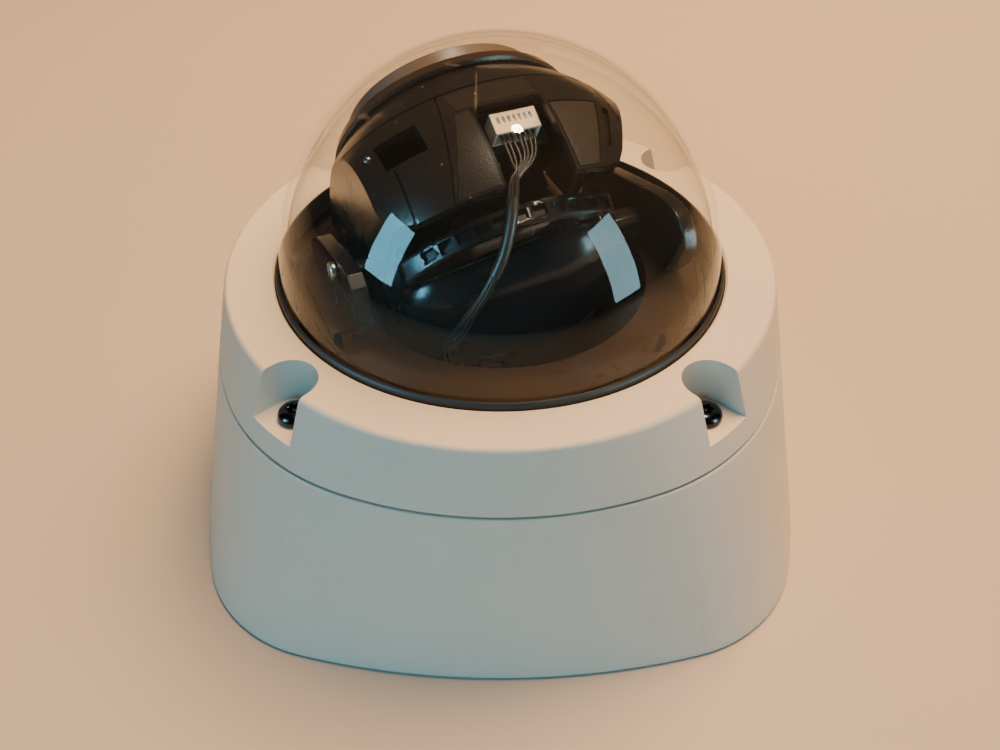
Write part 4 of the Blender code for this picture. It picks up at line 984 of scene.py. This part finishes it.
def make_harness():
    """Thin wires fan out of the plug, run through a sleeve, and fan out again into the bowl."""
    trunk = [Vector(point) for point in (
        (2.9, -19, DOME_Z + 32.3),
        (2.4, -25, DOME_Z + 27.2),
        (0.6, -29.9, DOME_Z + 20.8),
        (-3, -32.9, DOME_Z + 13.6),
        (-7.6, -32.8, DOME_Z + 5.2),
        (-10.9, -30.8, DOME_Z - 3.2),
        (-10.2, -27.2, DOME_Z - 12.5),
        (-6, -20, DOME_Z - 22.5),
        (-2.4, -9, DOME_Z - 29.5),
        (0, -2, DOME_Z - 34),
        (0, 0, DOME_Z - 40.5),
        (0, 1.5, 12.5),
        (0, 10, 8.9),
        (0, 22, 8.6),
        (0, 33, 10.4),
        (0, 39.5, 13.2),
        (0, 44.4, 13.4),
    )]
    bend = TILT @ Vector((-1.2, 1.5, 37.6))
    rng = random.Random(7)
    wires = bmesh.new()
    lower_wires = bmesh.new()
    side = (TILT.to_3x3() @ Vector((1, 0, 0))).normalized()
    for index in range(WIRE_COUNT):
        spread = index - (WIRE_COUNT - 1) / 2
        angle = 2 * math.pi * index / WIRE_COUNT
        route = [
            (spread * WIRE_PITCH, 12.6, 36.6 + rng.uniform(-0.2, 0.2)),
            (spread * 1.15 + rng.uniform(-0.15, 0.15), 9, 37 + rng.uniform(-0.2, 0.5)),
            (spread * 0.85 - 0.9 + rng.uniform(-0.25, 0.25), 4.2, 37.6 + rng.uniform(-0.3, 0.3)),
        ]
        route = [TILT @ Vector(point) for point in route]
        centre = smooth_path([bend] + trunk, 1)
        for number, point in enumerate(centre[1:], 1):
            wide = 0.85
            if number in (5, 6, 7):
                wide = 1.25 + 0.25 * (number - 5)
            if number in (8, 9):
                wide = 1.6
            offset = side * (wide * math.cos(angle)) + Vector((0, 0.6, 0.8)) * (wide * 0.8 * math.sin(angle))
            if number > 9:
                offset = Vector((math.cos(angle), 0.15 * math.sin(angle), math.sin(angle))) * 0.85
            if 10 <= number <= 11:
                offset = Vector((math.cos(angle), math.sin(angle), 0)) * 0.95
            route.append(point + offset)
        hub = len(route) - 6
        tube(wires, smooth_path(route[:hub], 7), WIRE_RADIUS, 8)
        tube(lower_wires, smooth_path(route[hub - 1:], 7), WIRE_RADIUS, 8)
    wires, lower_wires = solid(wires), solid(lower_wires)
    finish(wires, "loom_wires", WIRE, None, "wire_harness", None, 50)
    finish(lower_wires, "lower_loom_wires", WIRE, None, None, None, 50)
    sleeve_path = smooth_path([bend] + trunk[:4], 8)[12:-4]
    sleeve = made(tube, sleeve_path, lambda t: 1.45 - 0.12 * math.sin(math.pi * t), 20, 0.9)
    finish(sleeve, "loom_sleeve", SLEEVE, None, None, None, 60)
    for piece in (wires, sleeve):
        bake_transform(piece)
    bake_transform(lower_wires)
    lower = made(tube, smooth_path(trunk[11:15], 8), 1.45, 20)
    finish(lower, "lower_sleeve", SLEEVE, "housing", None, None, 60)

    plug = box((-5.2, 10.5, 33.9), (5.2, 15.5, 39), TILT)
    mouth = box((-4.6, 9, 34.6), (4.6, 12.8, 38.3), TILT)
    windows = bmesh.new()
    pins = bmesh.new()
    for index in range(WIRE_COUNT):
        x = (index - (WIRE_COUNT - 1) / 2) * WIRE_PITCH
        block(windows, (x - 0.32, 12.9, 38.2), (x + 0.32, 14.4, 40))
        block(pins, (x - 0.25, 15.6, 33.62), (x + 0.25, 17.6, 34))
    boolean(plug, [mouth, solid(windows, TILT)])
    finish(plug, "plug_body", WHITE, "tilt_unit", "camera_plug", (0.18, 2))
    board = box((-8, 9.5, 32.4), (8, 19, 33.6), TILT)
    finish(board, "plug_board", PCB_DARK, "tilt_unit", "connector_board", (0.1, 1))
    finish(solid(pins, TILT), "plug_pins", GOLD, "tilt_unit")


def make_side_pins():
    for side, name in ((1, "right"), (-1, "left")):
        levels = [(1.35, 32), (1.6, 32.3), (1.6, ARM_OUTSIDE - 1.3), (1.35, ARM_OUTSIDE - 1)]
        pin = made(turned, levels, 32, place=TILT @ rotation(90 * side, "Y"))
        finish(pin, f"trunnion_pin_{name}", BLACK_STEEL, "tilt_unit", f"pivot_pin_{name}")
    lock = polar(LOCK_ARC, LOCK_ANGLE)
    lay = TILT @ rotation(-90, "Y")
    foot, face = ARM_OUTSIDE + 0.3, ARM_OUTSIDE + 1.7
    levels = [(1.15, 32), (1.15, foot), (2.2, foot), (2.2, face - 0.5), (2.05, face - 0.2), (1.7, face)]
    cross_screw("tilt_lock", levels, (lock[1], lock[0]), face, 1, "tilt_unit", "tilt_lock_screw", lay)


def make_gimbal_base():
    plate = [(6.9, 14), (34, 14), (34, 16.8), (14, 16.8), (13.3, 17.1), (13, 17.8), (13, 23.8)]
    collar = [(12.6, 24.2), (9.4, 24.2), (9.4, 19), (6.9, 19)]
    base = made(lathe, plate + collar, 128)
    boolean(base, [rods(3.2, 3, 15, LEGS, 32)], "UNION")
    cuts = bmesh.new()
    for at in LEGS:
        rod(cuts, 1.85, 0, 30, at, 24)
    for index in range(6):
        block(cuts, (17.5, -3.4, 15.6), (24.5, 3.4, 20), rotation(60 * index, "Z"))
    bore = bar(circle(1.85, 24, (0, 21.5)), -15, -8, "Y")
    boolean(base, [solid(cuts), bore])
    finish(base, "bearing_plate", BLACK_GRAINED, "housing", "gimbal_base", (0.25, 2), 36)
    for index, at in enumerate(LEGS, 1):
        levels = [(1.5, 7), (1.5, 17.1), (2.9, 17.1), (2.9, 18.3), (2.6, 18.7), (2.1, 18.9)]
        cross_screw(f"plate_screw_{index}", levels, at, 18.9, 1, "housing", f"gimbal_screw_{index}")
    lay = rotation(90, "X")
    levels = [(1.5, 9.75), (1.5, 14), (3.6, 14), (3.6, 18.9), (3.4, 19.4), (3, 19.6)]
    cross_screw("pan_clamp_screw", levels, (0, 21.5), 19.6, 1, "housing", "pan_lock_screw", lay)


def make_electronics():
    top = BOARD_TOP
    board = box((-32, 41.5, 9), (32, 65.5, 10.6))
    boolean(board, [rods(1.6, 0, 20, BOARD_SCREWS, 24)])
    finish(board, "network_board", PCB, "housing", "main_board", (0.12, 1))
    for index, at in enumerate(BOARD_SCREWS, 1):
        levels = [(1.25, 5.6), (1.25, top), (2.5, top), (2.5, 11.8), (2.3, 12.15), (1.8, 12.3)]
        cross_screw(f"board_pan_head_{index}", levels, at, 12.3, 1, "housing", f"board_screw_{index}")

    jack = box((-24, 47, top), (-8, 62, top + 13.4))
    socket = box((-21.9, 44, top + 2.4), (-10.1, 58.5, top + 9.6))
    latch = bmesh.new()
    block(latch, (-18, 44, top + 9), (-14, 55, top + 11.2))
    for x in (-24.2, -8.2):
        block(latch, (x, 50, top + 5), (x + 0.4, 53, top + 5.4))
    boolean(jack, [socket, solid(latch)])
    finish(jack, "shielded_jack", NICKEL, "housing", "ethernet_jack", (0.25, 2))
    contacts = bmesh.new()
    for index in range(8):
        x = -19.4 + 0.97 * index
        block(contacts, (x, 49.5, top + 2.45), (x + 0.5, 58, top + 2.9))
    finish(solid(contacts), "jack_contacts", GOLD, "housing", None, (0.05, 1))

    blocks = (
        ("two_way_terminal", "power_terminal", -5, 5, 47, (-2.5, 2.5)),
        ("four_way_terminal", "io_terminal", 8, 24, 47.5, (10.5, 14.2, 17.9, 21.6)),
    )
    for name, node, left, right, front, ways in blocks:
        body = box((left, front, top), (right, 55, top + 8))
        cuts = bmesh.new()
        heads = bmesh.new()
        for x in ways:
            block(cuts, (x - 1.1, 45, top + 1.5), (x + 1.1, 52, top + 4.5))
            rod(cuts, 1.35, top + 6.6, top + 9, (x, 51.5), 24)
            rod(heads, 1.2, top + 6.3, top + 7.3, (x, 51.5), 24)
        boolean(body, [solid(cuts)])
        finish(body, name, GREEN, "housing", node, (0.2, 2))
        slots = bmesh.new()
        for x in ways:
            block(slots, (x - 0.18, 50, top + 6.9), (x + 0.18, 53, top + 8))
        heads = boolean(solid(heads), [solid(slots)])
        finish(heads, f"{name}_screws", STEEL, "housing", None, (0.05, 1))

    header = box((-5.5, 42, top), (5.5, 46, top + 5))
    boolean(header, [box((-4.6, 41, top + 0.6), (4.6, 44.8, top + 4.4))])
    finish(header, "loom_header", WHITE, "housing", "camera_header", (0.2, 2))
    socket = box((8, 57.5, top), (22, 64.5, top + 2.2))
    slot = bmesh.new()
    block(slot, (9.2, 58.4, top + 0.5), (25, 63.6, top + 1.8))
    block(slot, (12, 60, top + 1.6), (13.2, 62, top + 3))
    boolean(socket, [solid(slot)])
    finish(socket, "card_socket", NICKEL, "housing", "sd_socket", (0.12, 2))
    card = [(x + 16.7, y) for x, y in rounded(6.9, 58.7, 63.3, 0.5, 6)]
    card = bar(card, top + 0.8, top + 1.5)
    finish(card, "memory_card", BLACK_GRAINED, "card", "sd_card", (0.12, 2))
    body = box((-4, 57, top), (2, 63, top + 3))
    boolean(body, [rods(1.8, top + 0.8, top + 5, [(-1, 60)], 32)])
    finish(body, "switch_case", CHIP, "housing", "switch_body", (0.2, 2))
    levels = [(1.45, top + 1.6), (1.45, top + 4.1), (1.3, top + 4.3), (1, top + 4.4)]
    button = made(turned, levels, 32, (-1, 60))
    finish(button, "press_button", WHITE, "button", "reset_button")
    chips = bmesh.new()
    for x, y, half, height in ((-28, 53.5, 2.2, 1.2), (28.5, 53, 2.4, 1.4), (27, 49, 1.1, 1.6)):
        block(chips, (x - half, y - half, top - 0.3), (x + half, y + half, top - 0.3 + height))
    finish(solid(chips), "board_chips", CHIP, "housing", None, (0.2, 2))


# ---------------- studio

def floor_material():
    n = Nodes("paper_floor")
    tint = n.ramp(n.noise(3.5, 3, 0.5), 0.3, 0.7)
    colour = n.mix(tint, (0.475, 0.47, 0.45), (0.50, 0.49, 0.47))
    return n.done(Base_Color=colour, Roughness=0.75, Normal=n.bump(n.noise(900, 3, 0.6), 0.02))


def make_floor():
    bm = bmesh.new()
    bmesh.ops.create_grid(bm, x_segments=4, y_segments=4, size=1500.0)
    bmesh.ops.translate(bm, verts=bm.verts, vec=(0, 0, -0.05))
    floor = solid(bm)
    floor.name = "studio_floor"
    floor.data.materials.append(floor_material())


def area_light(name, place, aim, size, watts, colour, shape="RECTANGLE"):
    data = bpy.data.lights.new(name, "AREA")
    data.shape = shape
    data.size, data.size_y = size
    data.energy = watts
    data.color = colour
    lamp = bpy.data.objects.new(name, data)
    lamp.location = place
    lamp.rotation_euler = (Vector(aim) - Vector(place)).to_track_quat("-Z", "Y").to_euler()
    bpy.context.scene.collection.objects.link(lamp)
    return lamp


def make_lights():
    centre = (0.0, 0.0, 0.06)
    unseen = [
        area_light("warm_overhead", (0.26, 0.30, 0.98), centre, (0.7, 0.7), 34.0, (1.0, 0.52, 0.21)),
        area_light("cool_front", (-0.22, -1.0, 0.34), centre, (1.4, 0.4), 5.6, (0.20, 0.80, 1.0)),
    ]
    for lamp in unseen:
        lamp.visible_glossy = False
    # Windows and lamp that only show as reflections.
    mirrored = [
        area_light("left_window", (-0.74, -0.41, 0.40), centre, (0.26, 0.43), 8.0, (0.22, 0.74, 1.0)),
        area_light("right_window", (0.78, -0.42, 0.34), centre, (0.25, 0.58), 6.4, (0.50, 0.88, 1.0)),
        area_light("lamp", (0.12, 0.124, 1.05), centre, (0.085, 0.085), 6.0, (1.0, 0.86, 0.62), "DISK"),
    ]
    for lamp in mirrored:
        lamp.visible_diffuse = False
    world = bpy.data.worlds.new("soft_world")
    world.use_nodes = True
    background = world.node_tree.nodes["Background"]
    background.inputs["Color"].default_value = (0.60, 0.84, 1.0, 1.0)
    background.inputs["Strength"].default_value = 0.035
    bpy.context.scene.world = world


def make_camera():
    data = bpy.data.cameras.new("photo_view")
    data.lens = 39.3
    data.sensor_width = 36.0
    data.clip_start = 0.01
    camera = bpy.data.objects.new("photo_view", data)
    camera.location = (0.0, -0.2144, 0.2156)
    aim = Vector((0.0, 0.0, 0.0231))
    camera.rotation_euler = (aim - camera.location).to_track_quat("-Z", "Y").to_euler()
    bpy.context.scene.collection.objects.link(camera)
    bpy.context.scene.camera = camera


make_camera()
make_housing()
make_cover()
make_bowl()
make_shell()
make_rear_frame()
make_rear_cover()
make_lens_unit()
make_harness()
make_side_pins()
make_gimbal_base()
make_electronics()
make_floor()
make_lights()

bpy.context.view_layer.update()
